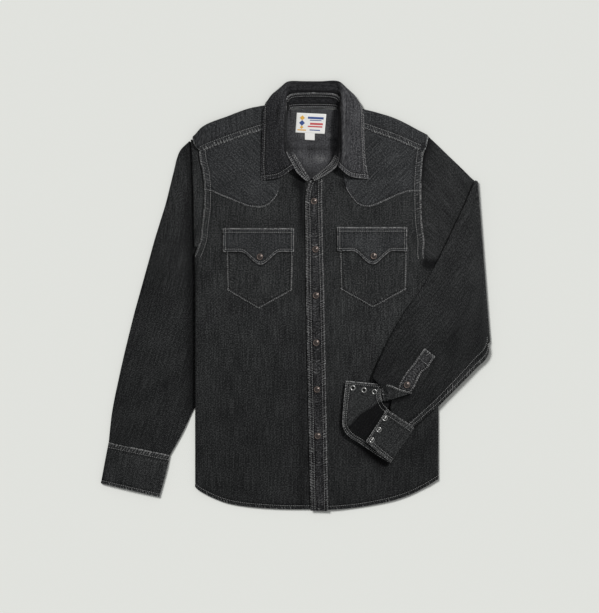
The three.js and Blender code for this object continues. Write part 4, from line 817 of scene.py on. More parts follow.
for k, flap in enumerate(FLAPS):
    def flap_bottom(x):
        swell = np.clip(1 - np.abs(x - flap["mid"]) / SCALLOP, 0, 1)
        return flap["edge"] - flap["dip"] * ease(0, 1, swell)

    cut, u, v = level_piece(flap["low"], flap["high"], flap_bottom, flap["top"], 45)
    rows = on_body(cut[..., 0], cut[..., 1], 2 * LAYER, lap_rise(cut[..., 0]) * k)
    to_left, to_right, from_hem, to_top = lengths(rows)
    relief, wear_and_shade, puckers = joined(*(
        seam(away, run, seed + 20 * k, rows=rows_at, rope=0.4, pale=1, bead=0.5)
        for away, run, seed, rows_at in (
            (to_left, cut[..., 1], 101, (4.5,)), (to_right, cut[..., 1], 105, (4.5,)),
            (from_hem, cut[..., 0], 109, (4.5,)), (to_top, cut[..., 0], 113, (1.6, 7)))))
    rows[..., 2] += relief + 0.2 * bumps(cut[..., 0], cut[..., 1], 20, 98 + k)
    side = flap["side"]
    made = sew(f"{side}_flap", f"flap_{side}", rows, yoke_denim, cut, wear_and_shade, inner=0,
               puckers=puckers)
    for edge, inset in (("start", 4.5), ("side", 4.5), ("hem", 4.5), ("top", 1.6), ("top", 7)):
        stitch(f"{side}_flap", edge, inset)

# Left sleeve
# A tapered denim tube, pressed flat, whose inner edge is tucked under the body. Its head turns
# round the body's edge to the armhole seam, where the front is felled over it.
LEFT_SLEEVE = [
    (-191, 277, -133, 250), (-206, 262, -122, 232), (-213, 246, -115, 214), (-217, 229.5, -108, 195),
    (-225, 197, -101, 162), (-233, 165, -93, 127), (-243, 132.5, -88, 99), (-253, 100, -85.5, 71),
    (-262, 67.5, -88, 46), (-271, 35, -93, 20), (-280, 2.5, -101, -6), (-289, -30, -110, -32),
    (-297, -62, -119, -58), (-305, -94.5, -131, -87), (-312.5, -127, -143, -118),
    (-319.5, -159, -157, -149), (-325, -185, -170, -178), (-330, -213, -186, -210),
    (-333, -239, -205, -249), (-335.5, -264.2, -226.1, -286.8),
]
SLEEVE_FOLDS = [
    (-250, 60, -200, 20, 16, 1.6), (-290, -40, -215, -75, 15, -1.2), (-300, -90, -225, -130, 15, 1.6),
    (-215, 200, -245, 60, 13, 1.3), (-225, 120, -262, -20, 12, -0.8), (-250, -100, -300, -235, 12, 0.9),
    (-215, -60, -262, -170, 10, 0.8), (-205, 150, -200, 60, 9, 0.9), (-290, -150, -310, -250, 9, -0.6),
]
TUCKED_HALF, OPEN_HALF = 1, 2.2
SLEEVE_HUMP = 2.6
UNDER_EDGE = 5
FREE_SLOPE = 32
TURNS = np.radians([30, 60, 90, 120, 150])


def sleeve_ring(a, b, lift, half_a, half_b, count, bow_over=0, bow_under=0, towards=(0, 0, 0)):
    """One ring of a flattened tube between its edges a and b: over, round b, under, round a.
    Gives its points, and for each its side, over 1, under -1 or edge 0, and share from a to b."""
    a, b, lift, towards = (np.array(p, float) for p in (a, b, lift, towards))
    width = np.linalg.norm(b - a)
    across = (b - a) / width
    share = np.linspace(0, 1, count)
    points, sides, places = [], [], []
    for side, places_along, bow in ((1, share, bow_over), (-1, share[::-1], bow_under)):
        half = half_a + (half_b - half_a) * ease(0, 1, places_along)
        way = half_a + (width - half_b - half_a) * places_along
        line = a + np.outer(way, across) + np.outer(side * half, lift)
        line = line + np.outer(4 * bow * places_along * (1 - places_along), towards)
        end, radius, out = (b, half_b, 1) if side > 0 else (a, half_a, -1)
        centre = end - across * out * radius
        arc = centre + np.outer(np.sin(TURNS) * out * radius, across)
        arc = arc + np.outer(np.cos(TURNS) * side * radius, lift)
        points += [line, arc]
        sides += [np.full(count, side), np.zeros(len(TURNS))]
        places += [places_along, np.full(len(TURNS), float(side > 0))]
    return np.vstack(points), np.concatenate(sides), np.concatenate(places)


def round_cut(rows, share):
    """The flat cut of a tube: the way across from its middle line, and the way down it"""
    far = int(share.argmax())
    width = np.linalg.norm(rows[:, :1] - rows[:, far:far + 1], axis=2)
    middle = rows.mean(axis=1)
    down = np.concatenate([[0], np.cumsum(np.linalg.norm(np.diff(middle, axis=0), axis=1))])
    return np.stack([(share - 0.5) * width, np.broadcast_to(-down[:, None], rows.shape[:2])], -1)


def left_sleeve_row(outer_x, outer_y, inner_x, inner_y):
    free = ease(206, 240, -inner_y)
    half_b = TUCKED_HALF + (OPEN_HALF - TUCKED_HALF) * free
    points, side, share = sleeve_ring(
        (outer_x, outer_y, BACK_LEVEL + OPEN_HALF), (inner_x, inner_y, BACK_LEVEL + half_b), (0, 0, 1),
        OPEN_HALF, half_b, 40)
    x, y = points[:, 0], points[:, 1]
    inside = edge_at(BODY_LEFT, y) - UNDER_EDGE
    clear = np.maximum(ease(-inside, FREE_SLOPE - inside, -x), free)
    hump = SLEEVE_HUMP * np.sin(math.pi * np.clip(share * 1.6 + 0.08, 0, 1))
    hump = np.maximum(0, hump + creases(SLEEVE_FOLDS, x, y) * ease(0, 0.12, share)
                      + 0.35 * bumps(x, y, 26, 121) * np.sin(math.pi * share))
    half = OPEN_HALF + (half_b - OPEN_HALF) * ease(0, 1, share)
    points[:, 2] += np.where(side > 0, clear * hump - (1 - clear) * 2 * (half - TUCKED_HALF), 0)
    points[:, 2] = np.where(side < 0, BACK_LEVEL, np.maximum(BACK_LEVEL, points[:, 2]))
    return points, share


left_stations = smooth(LEFT_SLEEVE, np.linspace(0, len(LEFT_SLEEVE) - 1, 165))
left_made = [left_sleeve_row(*station) for station in left_stations]
left_rows, left_share = np.array([row[0] for row in left_made]), left_made[0][1]
# Painted shadow of the body's left edge on the sleeve, and painted shade over the sleeve's lower part
body_edge = edge_at(BODY_LEFT, left_rows[..., 1])
shade = -0.75 * near(body_edge, left_rows[..., 0], 17) * (left_rows[..., 0] < body_edge)
shade = shade * ease(-225, -190, left_rows[..., 1])
left_tone_and_shade = 0.08 * bumps(left_rows[..., 0], left_rows[..., 1], 40, 122) + shade
left_tone_and_shade = left_tone_and_shade - 0.3 * ease(200, 40, left_rows[..., 1])
left_cut = round_cut(left_rows, left_share)
left_sleeve = sew("left_sleeve", "sleeve_left", left_rows, body_denim, left_cut,
                  left_tone_and_shade, closed=True, inner=1)

SLEEVE_HEAD = [
    (-182, 277, -188, 280), (-177, 268, -187.5, 272), (-167, 247, -186.5, 258),
    (-160, 226, -185.5, 240), (-156.5, 205, -184.5, 208),
    (-155.5, 181, -183.5, 181), (-156.5, 154, -183, 154), (-160, 127, -182.5, 127),
    (-163, 102, -182, 104), (-169, 86, -181.5, 88),
]
HEAD_FOLD = 1.5
HEAD_UNDER = 5


def head_row(inner_x, inner_y, edge_x, edge_y):
    ground, line = BACK_LEVEL + SLEEVE_LIFT, edge_x + HEAD_FOLD
    lap = front_height(inner_x, inner_y) - LAYER
    t = np.linspace(0, 1, 12)
    level = lap + (ground + 2 * HEAD_FOLD - lap) * t
    flat = np.stack([inner_x + (line - inner_x) * t, inner_y + (edge_y - inner_y) * t, level], -1)
    bend = np.stack([line - HEAD_FOLD * np.sin(TURNS), np.full(5, edge_y),
                     ground + HEAD_FOLD + HEAD_FOLD * np.cos(TURNS)], -1)
    under = [(line + way, edge_y, ground) for way in (0, HEAD_UNDER / 2, HEAD_UNDER)]
    return np.vstack([flat, bend, under])


head_rows = np.array([head_row(*row) for row in smooth(SLEEVE_HEAD, np.linspace(0, 9, 70))])
# Painted shade along the edge that goes under the front's armhole
head_shade = -0.35 * near(lengths(head_rows)[0], 0, 3)
head_cut = np.stack([lengths(head_rows)[0], head_rows[..., 1]], -1)
head = sew("left_sleeve_head", "sleeve_left_head", head_rows, body_denim, head_cut,
           head_shade)

# Right sleeve
# The same tube, laid outwards from the armhole and folded back over itself and the body.
# Each station: upper edge, under edge, angle of the fold, bow towards the crease or the cuff.
RIGHT_SLEEVE = [
    (240, 284.5, 231, 66, 0, -15), (255, 270.5, 252, 45, 0, -9), (275, 251, 277, 8, 0, -5),
    (297, 230, 306, -28, 0, -2), (314, 213, 331, -61, 0, 0), (322, 206, 343.5, -79, 0, 0),
    (323, 205, 344, -82, 45, 0), (323, 205, 345.2, -84, 90, 0), (323, 205, 344, -86, 135, 0),
    (321.5, 203, 345.5, -89, 180, 0), (303.5, 161, 347, -102, 180, 0), (287, 127, 341, -115, 180, 0),
    (272.5, 96, 327, -128, 180, 0), (249, 49.5, 310.5, -145, 180, 0), (224, 8, 292.5, -163, 180, 0),
    (202.5, -21, 274.5, -181, 180, 0), (177.5, -62, 256.5, -199, 180, 0),
    (161, -93, 240, -213.5, 180, 0), (147, -123, 226, -226.5, 180, 2),
    (137.5, -146, 211.5, -238.5, 180, 4),
]
SLEEVE_OVER = 8.6
SLEEVE_HALF, MOUTH_HALF = 1, 2.9
MOUTH_ROWS = 4
CREASE_REACH = 3.4
CREASE_FIRST, CREASE_LAST = 5, 9
FOLDED_HUMP = 1.6
OUTWARD = np.array([1, 0.08, 0]) / math.hypot(1, 0.08)
OVER_FOLDS = [
    (290, 60, 240, -90, 20, 1.8), (325, 60, 300, -90, 16, 1.3), (250, 0, 200, -110, 16, 1.5),
    (300, -60, 235, -170, 15, -0.9), (330, -10, 322, -95, 9, -0.6), (300, 110, 262, 20, 10, 0.7),
    (215, -60, 175, -120, 8, -0.9), (232, -85, 262, -120, 9, 0.9), (248, -70, 275, -100, 7, -0.8),
]
LYING_FOLDS = [
    (240, 225, 262, 130, 9, 1.2), (246, 245, 285, 175, 9, -1.0), (262, 262, 300, 210, 10, 0.9),
    (236, 160, 268, 90, 8, -0.9),
]


def right_sleeve_row(place, station):
    upper_x, upper_y, under_x, under_y, degrees, bow = station
    turn = math.radians(min(180, max(0, degrees)))
    last = len(RIGHT_SLEEVE) - 1
    half = SLEEVE_HALF + (MOUTH_HALF - SLEEVE_HALF) * ease(last - MOUTH_ROWS, last, place)
    low = BACK_LEVEL + SLEEVE_HALF
    z = low + (SLEEVE_OVER - low) * (1 - math.cos(turn)) / 2 + half - SLEEVE_HALF
    out = CREASE_REACH * math.sin(turn) * OUTWARD
    lift = -math.sin(turn) * OUTWARD
    folded = place >= CREASE_LAST
    points, side, share = sleeve_ring(
        np.array([upper_x, upper_y, z]) + out, np.array([under_x, under_y, z]) + out,
        (lift[0], lift[1], math.cos(turn)), half, half, 46,
        3.5 * bow if folded else bow, -bow if folded else bow,
        (-0.78, -0.62, 0) if folded else (1, 0, 0))
    x, y = points[:, 0], points[:, 1]
    inside = np.sin(math.pi * share)
    lying = 0.9 * ease(235, 280, x) + creases(LYING_FOLDS, x, y) + 0.3 * bumps(x, y, 24, 131)
    laid = FOLDED_HUMP + creases(OVER_FOLDS, x, y) + 0.35 * bumps(x, y, 24, 132)
    on_top = np.where(side > 0, 1 - ease(CREASE_FIRST - 1, CREASE_FIRST, place), 0)
    on_low = np.where(side < 0, ease(CREASE_LAST, CREASE_LAST + 1, place), 0)
    points[:, 2] += inside * (on_top * lying + on_low * laid)
    # At the mouth the seen layer reaches on under the cuff's seam, past the end of the slit
    reach = 16 * ease(last - 2, last, place) * ease(0.42, 0.6, share) * (1 - ease(0.9, 1, share))
    points[:, :2] += np.outer(np.where(side < 0, reach, 0), (-0.78, -0.62))
    return points, side, share


def sleeve_places(stations, step):
    """Places along a table of stations about a step apart on the longer edge"""
    places = [0.0]
    for k, (here, after) in enumerate(zip(stations, stations[1:])):
        way = max(math.dist(here[:2], after[:2]), math.dist(here[2:4], after[2:4]))
        count = max(3, math.ceil(way / step))
        places += [k + n / count for n in range(1, count + 1)]
    return np.array(places)


# The shade at the underarm, in the mouth, below the facing and down the sleeve is held in its wear
right_places = sleeve_places(RIGHT_SLEEVE, 3.6)
made_rows = [right_sleeve_row(*pair) for pair in zip(right_places, smooth(RIGHT_SLEEVE, right_places))]
right_rows = np.array([row[0] for row in made_rows])
right_side, right_share = made_rows[0][1][None], made_rows[0][2][None]
width = np.linalg.norm(right_rows[:, :1] - right_rows[:, 45:46], axis=2)
folded = ease(CREASE_LAST - 0.5, CREASE_LAST + 0.6, right_places)[:, None] * (right_side < 0)
run = right_places[:, None] * 22 + 0 * right_share
relief, wear_and_shade, puckers = joined(faded(
    seam((1 - right_share) * width, run, 133, rows=(3, 11), rope=1.3, pale=0.3, reach=13), folded))
right_rows = right_rows + facing(right_rows, True) * relief[..., None]
in_armhole = near(lengths(right_rows)[2], 0, 9) * (right_side > 0)
in_mouth = near(lengths(right_rows)[3], 0, 40) * (right_side >= 0)
under_facing = -175.5 + 0.31 * (right_rows[..., 0] - 206) - right_rows[..., 1]
under_facing = near(under_facing, 3, 4.5) * (1 - ease(200, 210, right_rows[..., 0]))
on_seam = near((1 - right_share) * width, 7, 5.5) * folded
underarm = spot(right_rows[..., 0], right_rows[..., 1], (246, 56), (11, 9))
right_sleeve_wear_and_shade = wear_and_shade + 0.08 * bumps(right_rows[..., 0], right_rows[..., 1], 40, 136) - 0.28
right_sleeve_wear_and_shade = right_sleeve_wear_and_shade - 0.26 * ease(20, -120, right_rows[..., 1]) - 1.2 * underarm * (right_side > 0)
right_sleeve_wear_and_shade = right_sleeve_wear_and_shade - 0.7 * in_armhole - 1.3 * in_mouth + 0.36 * on_seam
right_sleeve_wear_and_shade = right_sleeve_wear_and_shade - 1.0 * under_facing * (right_side < 0) * folded
right_cut = round_cut(right_rows, made_rows[0][2])
right_sleeve = sew("right_sleeve", "sleeve_right", right_rows, body_denim, right_cut,
                   right_sleeve_wear_and_shade, closed=True,
                   puckers=puckers)
first_folded = int(np.argmax(right_places > CREASE_LAST + 0.5))
for inset in (3, 11):
    column = 46 + len(TURNS) + int(round(inset / 155 * 45))
    stitch_rows.append(right_rows[first_folded:, column] + np.array([0, 0, CLOTH / 2]))

# Cuffs
# Two-ply straight cuffs. The left one is snapped shut and lies flat; the right one stands open,
# its end with the sockets turned up and its end with the studs laid over the sleeve's mouth.
COLLAR_CLOTH = 1.4
CUFF_HALF = 2.6
CUFF_HUMP = 1.4
CLOSED_CUFF = [
    (-335.6, -264.8, -227, -287.5), (-339, -282, -229, -298.5), (-343, -303, -234.5, -322),
    (-349.4, -337.5, -245.5, -361.8),
]
OPEN_CUFF = [
    (164, -205, 16.2, 127, -262, 17.6), (190, -222, 16, 148.5, -281, 17.2),
    (209, -235, 14.6, 167, -296, 15.8), (213, -239, 12.2, 171, -299.5, 13.2),
    (209, -237, 9.8, 166.5, -298.5, 10.6), (190, -224, 8.6, 141, -282.5, 9.8),
    (174, -209, 8.4, 116, -265.5, 11), (160, -196, 8.8, 96.5, -253, 12.6),
    (154, -184, 9.6, 86, -237, 13.8), (154, -172, 10, 86.5, -197, 13.6),
    (160, -160.5, 11, 91, -154, 12.4),
]
CURL = [86, 98, 116, 134, 147, 161, 175], [-240, -233, -213, -202.5, -193.5, -188, -183]
CURL_RISE = 2.6


def strip(line, us):
    """Rows of points across a strip, from its first edge to its last, given side by side"""
    half, u = line.shape[1] // 2, us[None, :, None]
    return line[:, None, :half] * (1 - u) + line[:, None, half:] * u


def closed_cuff_row(outer_x, outer_y, inner_x, inner_y):
    level = COLLAR_CLOTH / 2 + CUFF_HALF
    points, side, share = sleeve_ring((outer_x, outer_y, level), (inner_x, inner_y, level), (0, 0, 1),
                                      CUFF_HALF, CUFF_HALF, 44)
    points[:, 2] += np.where(side > 0, CUFF_HUMP * np.sin(math.pi * share), 0)
    return points, side, share


cuff_stations = smooth(CLOSED_CUFF, 3 * shares(76, 2.2, low=True, high=True))
cuff_made = [closed_cuff_row(*station) for station in cuff_stations]
cuff_rows, cuff_side = np.array([row[0] for row in cuff_made]), cuff_made[0][1][None]
_, _, from_seam, to_wrist = lengths(cuff_rows)
round_way = lengths(cuff_rows)[0]
relief, wear_and_shade, puckers = joined(
    seam(from_seam, round_way, 141, rows=(1.5, 8.5), rope=1.3, pale=0.9),
    seam(to_wrist, round_way, 145, rows=(5,), rope=1.1, pale=0.45, reach=7))
cuff_rows = cuff_rows - facing(cuff_rows, True) * (relief * (cuff_side >= 0))[..., None]
left_cuff = sew("left_cuff", "cuff_left", cuff_rows, body_denim,
                round_cut(cuff_rows, cuff_made[0][2]), wear_and_shade,
                COLLAR_CLOTH, closed=True, inner=0, puckers=puckers)
for side, inset in (("hem", 1.5), ("hem", 8.5), ("top", 5)):
    stitch("left_cuff", side, inset, 0.0, 0.49, "under")

open_line = curve(OPEN_CUFF)(shares(360, 2.4, low=True, high=True))
open_rows = strip(open_line, shares(75, 2.2, low=True, high=True))
from_seam, to_wrist, from_studs, to_sockets = lengths(open_rows)
relief, wear_and_shade, puckers = joined(
    seam(from_seam, from_studs, 151, rows=(2, 8.5), rope=0.7, pale=0.6),
    seam(to_wrist, from_studs, 155, rows=(3, 7.5), rope=0.7, pale=1, bead=0.5),
    seam(from_studs, from_seam, 159, rows=(3,), rope=0.4, pale=1, bead=0.5),
    seam(to_sockets, from_seam, 163, rows=(4,), rope=0.4, pale=1, bead=0.5),
)
relief = relief + 0.3 * bumps(from_studs, from_seam, 16, 167)
open_rows = open_rows + facing(open_rows) * relief[..., None]
# The turned-up end curls along a slanting line, and the cuff's inside below it lies in its shadow
over_curl = open_rows[..., 1] - np.interp(open_rows[..., 0], *CURL)
inner_layer = ease(64, 72, from_studs)
curl = ease(-0.6, 1.4, over_curl) * (1 - ease(6, 30, over_curl)) * inner_layer * ease(2, 12, to_wrist)
open_rows[..., 2] += CURL_RISE * curl
wear_and_shade = wear_and_shade - 1.0 * (1 - ease(-1, 0.6, over_curl)) * inner_layer * (0.25 + 0.75 * ease(5, 12, to_wrist))
open_cut = np.stack([from_studs, from_seam], -1)
right_cuff = sew("right_cuff", "cuff_right", open_rows, body_denim, open_cut, wear_and_shade,
                 COLLAR_CLOTH, inner=0,
                 puckers=puckers)
for face in ("rows", "under"):
    for side, inset in (("start", 2), ("start", 8.5), ("side", 3), ("side", 7.5), ("hem", 3),
                        ("top", 4)):
        stitch("right_cuff", side, inset, face=face)

# Sleeve placket
# A folded strip over the slit of the right sleeve, boxed at its top end, with one snap
SLEEVE_SLIT = [
    (232, -95.5, 250, -110), (222, -109, 242, -121.5), (212, -123.5, 235.5, -131.5),
    (206, -130.5, 226.5, -137.5), (197, -142, 220, -149), (189, -155, 215, -160.5),
    (185, -165.5, 208, -171.5),
]
SLIT_LEVEL = 14.2
SLIT_RISE = 2.6
slit_vs = shares(85, 1.8, low=True, high=True)
slit_line = smooth(SLEEVE_SLIT, slit_vs * (len(SLEEVE_SLIT) - 1))
slit_rows = strip(slit_line, shares(22, 1.4, low=True, high=True))
slit_level = np.broadcast_to((SLIT_LEVEL + SLIT_RISE * ease(0.45, 1, slit_vs))[:, None, None],
                             slit_rows[..., :1].shape)
slit_rows = np.concatenate([slit_rows, slit_level], -1)
ways = lengths(slit_rows)
relief, wear_and_shade, puckers = joined(
    seam(ways[0], ways[2], 171, rows=(2,), rope=0.7, pale=1, reach=12),
    seam(ways[1], ways[2], 175, rows=(2,), rope=0.7, pale=0.9, reach=12),
    seam(ways[2], ways[0], 179, rows=(2, 20), rope=0.9, pale=1, reach=18),
    seam(ways[3], ways[0], 183, rows=(2,), rope=0.3, pale=0.3),
)
slit_rows = slit_rows - facing(slit_rows) * relief[..., None]
slit = sew("right_sleeve_placket", "sleeve_placket_right", slit_rows, trim_denim,
           slit_rows[..., :2], wear_and_shade, inner=1,
           puckers=puckers)
for side, inset in (("start", 2), ("side", 2), ("hem", 2), ("hem", 20)):
    stitch("right_sleeve_placket", side, inset, face="under")

facing_cut = pattern(
    curve([(159, -190), (172, -186.5), (190, -181), (206, -175.5)]),
    curve([(157, -159), (170, -161.5), (186, -168.2), (208.5, -173.8)]),
    curve([(159, -190), (156, -175), (157, -159)]), curve([(206, -175.5), (208, -174.5), (208.5,
                                                          -173.8)]),
    shares(52, 2, high=True), shares(30, 1.6, low=True, high=True),
)
facing_level = 13.4 + 5 * ease(158, 184, facing_cut[..., 0])
facing_rows = np.concatenate([facing_cut, facing_level[..., None]], -1)
ways = lengths(facing_rows)
relief, wear_and_shade, puckers = joined(
    seam(ways[3], ways[0], 187, rows=(2.4,), rope=0.4, pale=1.1, bead=0.6),
    seam(ways[0], ways[2], 188, rows=(4,), rope=0.9, pale=0.2, reach=14))
facing_rows = facing_rows + facing(facing_rows) * relief[..., None]
slit_facing = sew("slit_facing_right", None, facing_rows, body_denim, facing_cut, wear_and_shade,
                  puckers=puckers)
stitch("slit_facing_right", "top", 2.4)

# Collar
# A two-ply stand round the neck, and a pointed fall that rolls over it and lies on the yokes
STAND = [
    (25.5, 210.5, 6.4, 20.5, 205.5, 9.5), (14, 227.5, 6.4, 5.5, 218.5, 14), (6, 242, 6.6, -5.5, 234, 18),
    (-5.5, 259, 7, -15.5, 254.5, 21.5), (-14.5, 276, 7.6, -19, 276, 24), (-15.5, 301.5, 7.8, -18.5, 301.5, 24),
    (-14, 326.5, 7.4, -17.5, 334, 20), (-9, 335.5, 5.6, -16.5, 353.5, 12.5), (3, 337.5, 4.6, -4.5, 362.5, 6.6),
    (31.5, 338, 4.4, 31.5, 364.5, 5.4), (60, 337.5, 4.6, 67.5, 362.5, 6.6), (73, 335.5, 5.6, 80.5, 353.5, 12.5),
    (77.5, 326.5, 7.4, 81, 334, 20), (78, 301.5, 7.8, 81, 301.5, 24), (76.5, 276, 7.8, 81, 276, 24),
    (73, 258, 7.8, 80, 253, 21), (64, 240, 8, 75.5, 235, 17.5), (51, 227.5, 8.4, 60, 220.5, 14),
    (31.5, 211.5, 9.6, 34.5, 206, 12.4),
]
# Each row of the fall: where it leaves the stand, its roll, its middle and its outer edge
FALL = [
    [(-2.5, 229.5, 19), (-5, 228, 21), (-28, 213.5, 14.5), (-61, 207.5, 8.7)],
    [(-15.5, 253, 22.8), (-18.5, 254, 25.5), (-37, 244, 17.5), (-61.5, 226, 8.3)],
    [(-19.5, 276, 25), (-21.5, 276, 28), (-38.5, 272.5, 19.5), (-60.5, 253, 7.8)],
    [(-19, 301.5, 25), (-21, 301.5, 28.3), (-38.5, 299.5, 20), (-59.5, 283.5, 8.2)],
    [(-18, 334, 21), (-20, 334.5, 25.5), (-39.5, 330.5, 18.5), (-58.5, 312, 9.2)],
    [(-17, 354, 13.6), (-19, 357.5, 18.5), (-39.5, 355.5, 14), (-57, 333, 9.6)],
    [(-13.5, 361.5, 9.4), (-16.5, 374, 12.5), (-37, 365.5, 7), (-50, 349, 4)],
    [(-4.5, 364.2, 7), (-10.5, 385.2, 6.4), (-21, 371, 1.6), (-27, 350, 1)],
    [(31.5, 365.8, 6), (31.5, 385.2, 3.4), (31.5, 376, 1.2), (31.5, 350, 0.75)],
    [(67.5, 364.2, 7), (74.5, 385.2, 6.4), (84.5, 371, 1.6), (90, 350, 1)],
    [(77, 361.5, 9.4), (81.5, 374, 12.5), (101, 364.5, 7), (114, 347, 4)],
    [(81, 354, 13.6), (83, 356, 18.5), (103.5, 353, 14), (120.5, 332, 9.6)],
    [(81.5, 334, 21), (83.5, 334.5, 25.5), (103.5, 330.5, 18.5), (122.5, 312, 9.2)],
    [(81.5, 301.5, 25), (83.5, 301.5, 28.3), (103.5, 299.5, 20), (123, 283.5, 8.2)],
    [(81.5, 276, 25), (83.5, 276, 28), (103.5, 271, 19.5), (124.5, 254.5, 7.8)],
    [(80.7, 253, 22.2), (82.5, 252, 25), (103.5, 242, 17.5), (127.5, 229.5, 7.8)],
    [(76.5, 235, 18.8), (78, 231.5, 20.5), (98, 215, 14.5), (130.5, 210, 8.2)],
]
# The shade at the sides and back of the stand, in the roll and behind it is held in their wear
# Lighter than the body's denim, partly painted light matched to the right leaf, which faces the light
collar_denim = denim("washed_denim_collar", "#131314", "#2e2e30", "#606062", "#2c2c2e")
stand_line = smooth(STAND, (len(STAND) - 1) * shares(400, 2.4, low=True, high=True))
stand_rows = strip(stand_line, shares(28, 1.5, low=True, high=True))
ways = lengths(stand_rows)
relief, stand_wear_and_shade, puckers = joined(
    seam(ways[0], ways[2], 191, rows=(2, 6), rope=1.3, pale=0.8),
    seam(ways[1], ways[2], 195, rows=(2, 6), rope=1.3, pale=1))
at_front = 1 - ease(60, 110, ways[2]) * ease(60, 110, ways[3])
puckers[..., 2] *= 0.45 + 0.55 * at_front
stand_y = stand_rows[..., 1]
at_sides = ease(252, 268, stand_y) * (1 - ease(324, 336, stand_y))
at_back = ease(322, 336, stand_y)
between = 1 - near(np.minimum(ways[0], ways[1]), 0, 1.6)
puckers[..., 2] *= 1 - 0.9 * at_sides
stand_wear_and_shade = stand_wear_and_shade * (0.7 + 0.3 * at_front) * (1 - 0.97 * at_sides) - 0.8 * at_sides
stand_wear_and_shade = stand_wear_and_shade - 0.75 * at_back * between
stand_rows = stand_rows - facing(stand_rows) * relief[..., None]
stand = sew("stand_of_collar", "collar_stand", stand_rows, collar_denim,
            np.stack([ways[2], ways[0]], -1), stand_wear_and_shade,
            COLLAR_CLOTH, inner=0, puckers=puckers)
for side, inset in (("start", 2), ("start", 6), ("side", 2), ("side", 6)):
    for first, last in ((0, 0.17), (0.4, 0.6), (0.83, 1)):
        for face in ("rows", "under"):
            stitch("stand_of_collar", side, inset, first, last, face)

fall_vs = shares(470, 2.6, low=True, high=True)
fall_lines = smooth(FALL, fall_vs * (len(FALL) - 1))
fall_rows = np.array([curve(line)(shares(70, 2.2, high=True)) for line in fall_lines])
fall_rows[..., 2] = np.maximum(COLLAR_CLOTH / 2, fall_rows[..., 2])
ways = lengths(fall_rows)
relief, wear_and_shade, puckers = joined(
    seam(ways[1], ways[2], 201, rows=(6.5,), rope=1, pale=0.9, bead=0.45),
    seam(ways[2], ways[0], 205, rows=(6.5,), rope=1, pale=0.9, bead=0.45),
    seam(ways[3], ways[0], 209, rows=(6.5,), rope=1, pale=0.9, bead=0.45),
)
# Painted shade inside the roll and behind it, a faint pale band just past the roll, partly worn fold and partly painted
# highlight, and painted shade over the fall's left half
inside_roll = ease(6, 1, ways[0])
behind = ease(340, 354, fall_rows[..., 1]) * (1 - ease(44, 54, np.abs(fall_rows[..., 0] - 31.5)))
wear_and_shade = wear_and_shade - 0.7 * inside_roll + 0.08 * near(ways[0], 8, 2) - 0.7 * behind
wear_and_shade = wear_and_shade - 0.34 * (fall_rows[..., 0] < 31.5) * (1 - behind)
fall_rows = fall_rows - facing(fall_rows) * (relief + 0.3 * bumps(ways[0], ways[2], 22, 214))[..., None]
fall_rows[..., 2] = np.maximum(COLLAR_CLOTH / 2, fall_rows[..., 2])
fall = sew("fall_of_collar", "collar", fall_rows, collar_denim,
           np.stack([ways[0], ways[2]], -1), wear_and_shade,
           COLLAR_CLOTH, inner=0, puckers=puckers)
for side in ("side", "hem", "top"):
    stitch("fall_of_collar", side, 6.5, face="under")

# Neck label and size tab
# A white woven label with a plain pattern of bars and lozenges in blue, red and yellow, and a bare
# size tab sewn under it, on the inside of the yoke
NECK_TOP = 336
LABEL_CLOTH = 1
LABEL_CORNERS = [(2.5, 328.5), (55, 326), (52, 291), (0, 293.5)]
TAB_CORNERS = [(17, 292.5), (34, 291.5), (34, 279.5), (17, 280.5)]


def woven(name, colour):
    """Woven polyester ribbon: fine close threads, a slight silky sheen"""
    made, tree, shader = material(name)
    cut = add(tree, "ShaderNodeTexCoord").outputs["Object"]
    weave = add(tree, "ShaderNodeTexNoise", {"Vector": cut, "Scale": 1 / (1.2 * MM), "Detail": 2})
    tinted = add(tree, "ShaderNodeMix", {
        0: weave.outputs["Fac"], 6: linear(colour), 7: linear(colour, 0.8)},
        data_type="RGBA")
    bump = add(tree, "ShaderNodeBump", {
        "Height": weave.outputs["Fac"], "Strength": 0.4, "Distance": 0.2 * MM})
    wire(tree, shader, {
        "Base Color": tinted.outputs[2], "Normal": bump.outputs[0], "Roughness": 0.6,
        "Sheen Weight": 0.2})
    return made


def label_point(corners, u, v, lift):
    (ax, ay), (bx, by), (cx, cy), (dx, dy) = corners
    x = (ax + (bx - ax) * u) * (1 - v) + (dx + (cx - dx) * u) * v
    y = (ay + (by - ay) * u) * (1 - v) + (dy + (cy - dy) * u) * v
    level = BACK_LEVEL + (CLOTH + LABEL_CLOTH) / 2 + SEAM_GAP + lift
    return np.stack([x, y, level + NECK_RISE * ease(NECK_FLAT, NECK_TOP, y)], -1)


ground_cloth = woven("woven_label_white", "#efeeea")
for name, node, corners, lift in (("neck_label", "label", LABEL_CORNERS, 0.35),
                                  ("neck_size_tab", "size_tab", TAB_CORNERS, 0.2)):
    u, v = np.linspace(0, 1, 30)[None, :], np.linspace(0, 1, 22)[:, None]
    rows = label_point(corners, u, v, lift)
    rows[..., 2] += 0.15 * bumps(rows[..., 0], rows[..., 1], 10, 221)
    made = sew(name, node, rows, ground_cloth, rows[..., :2], 0 * rows[..., 0],
               LABEL_CLOTH)

MOTIF_LIFT = 0.8
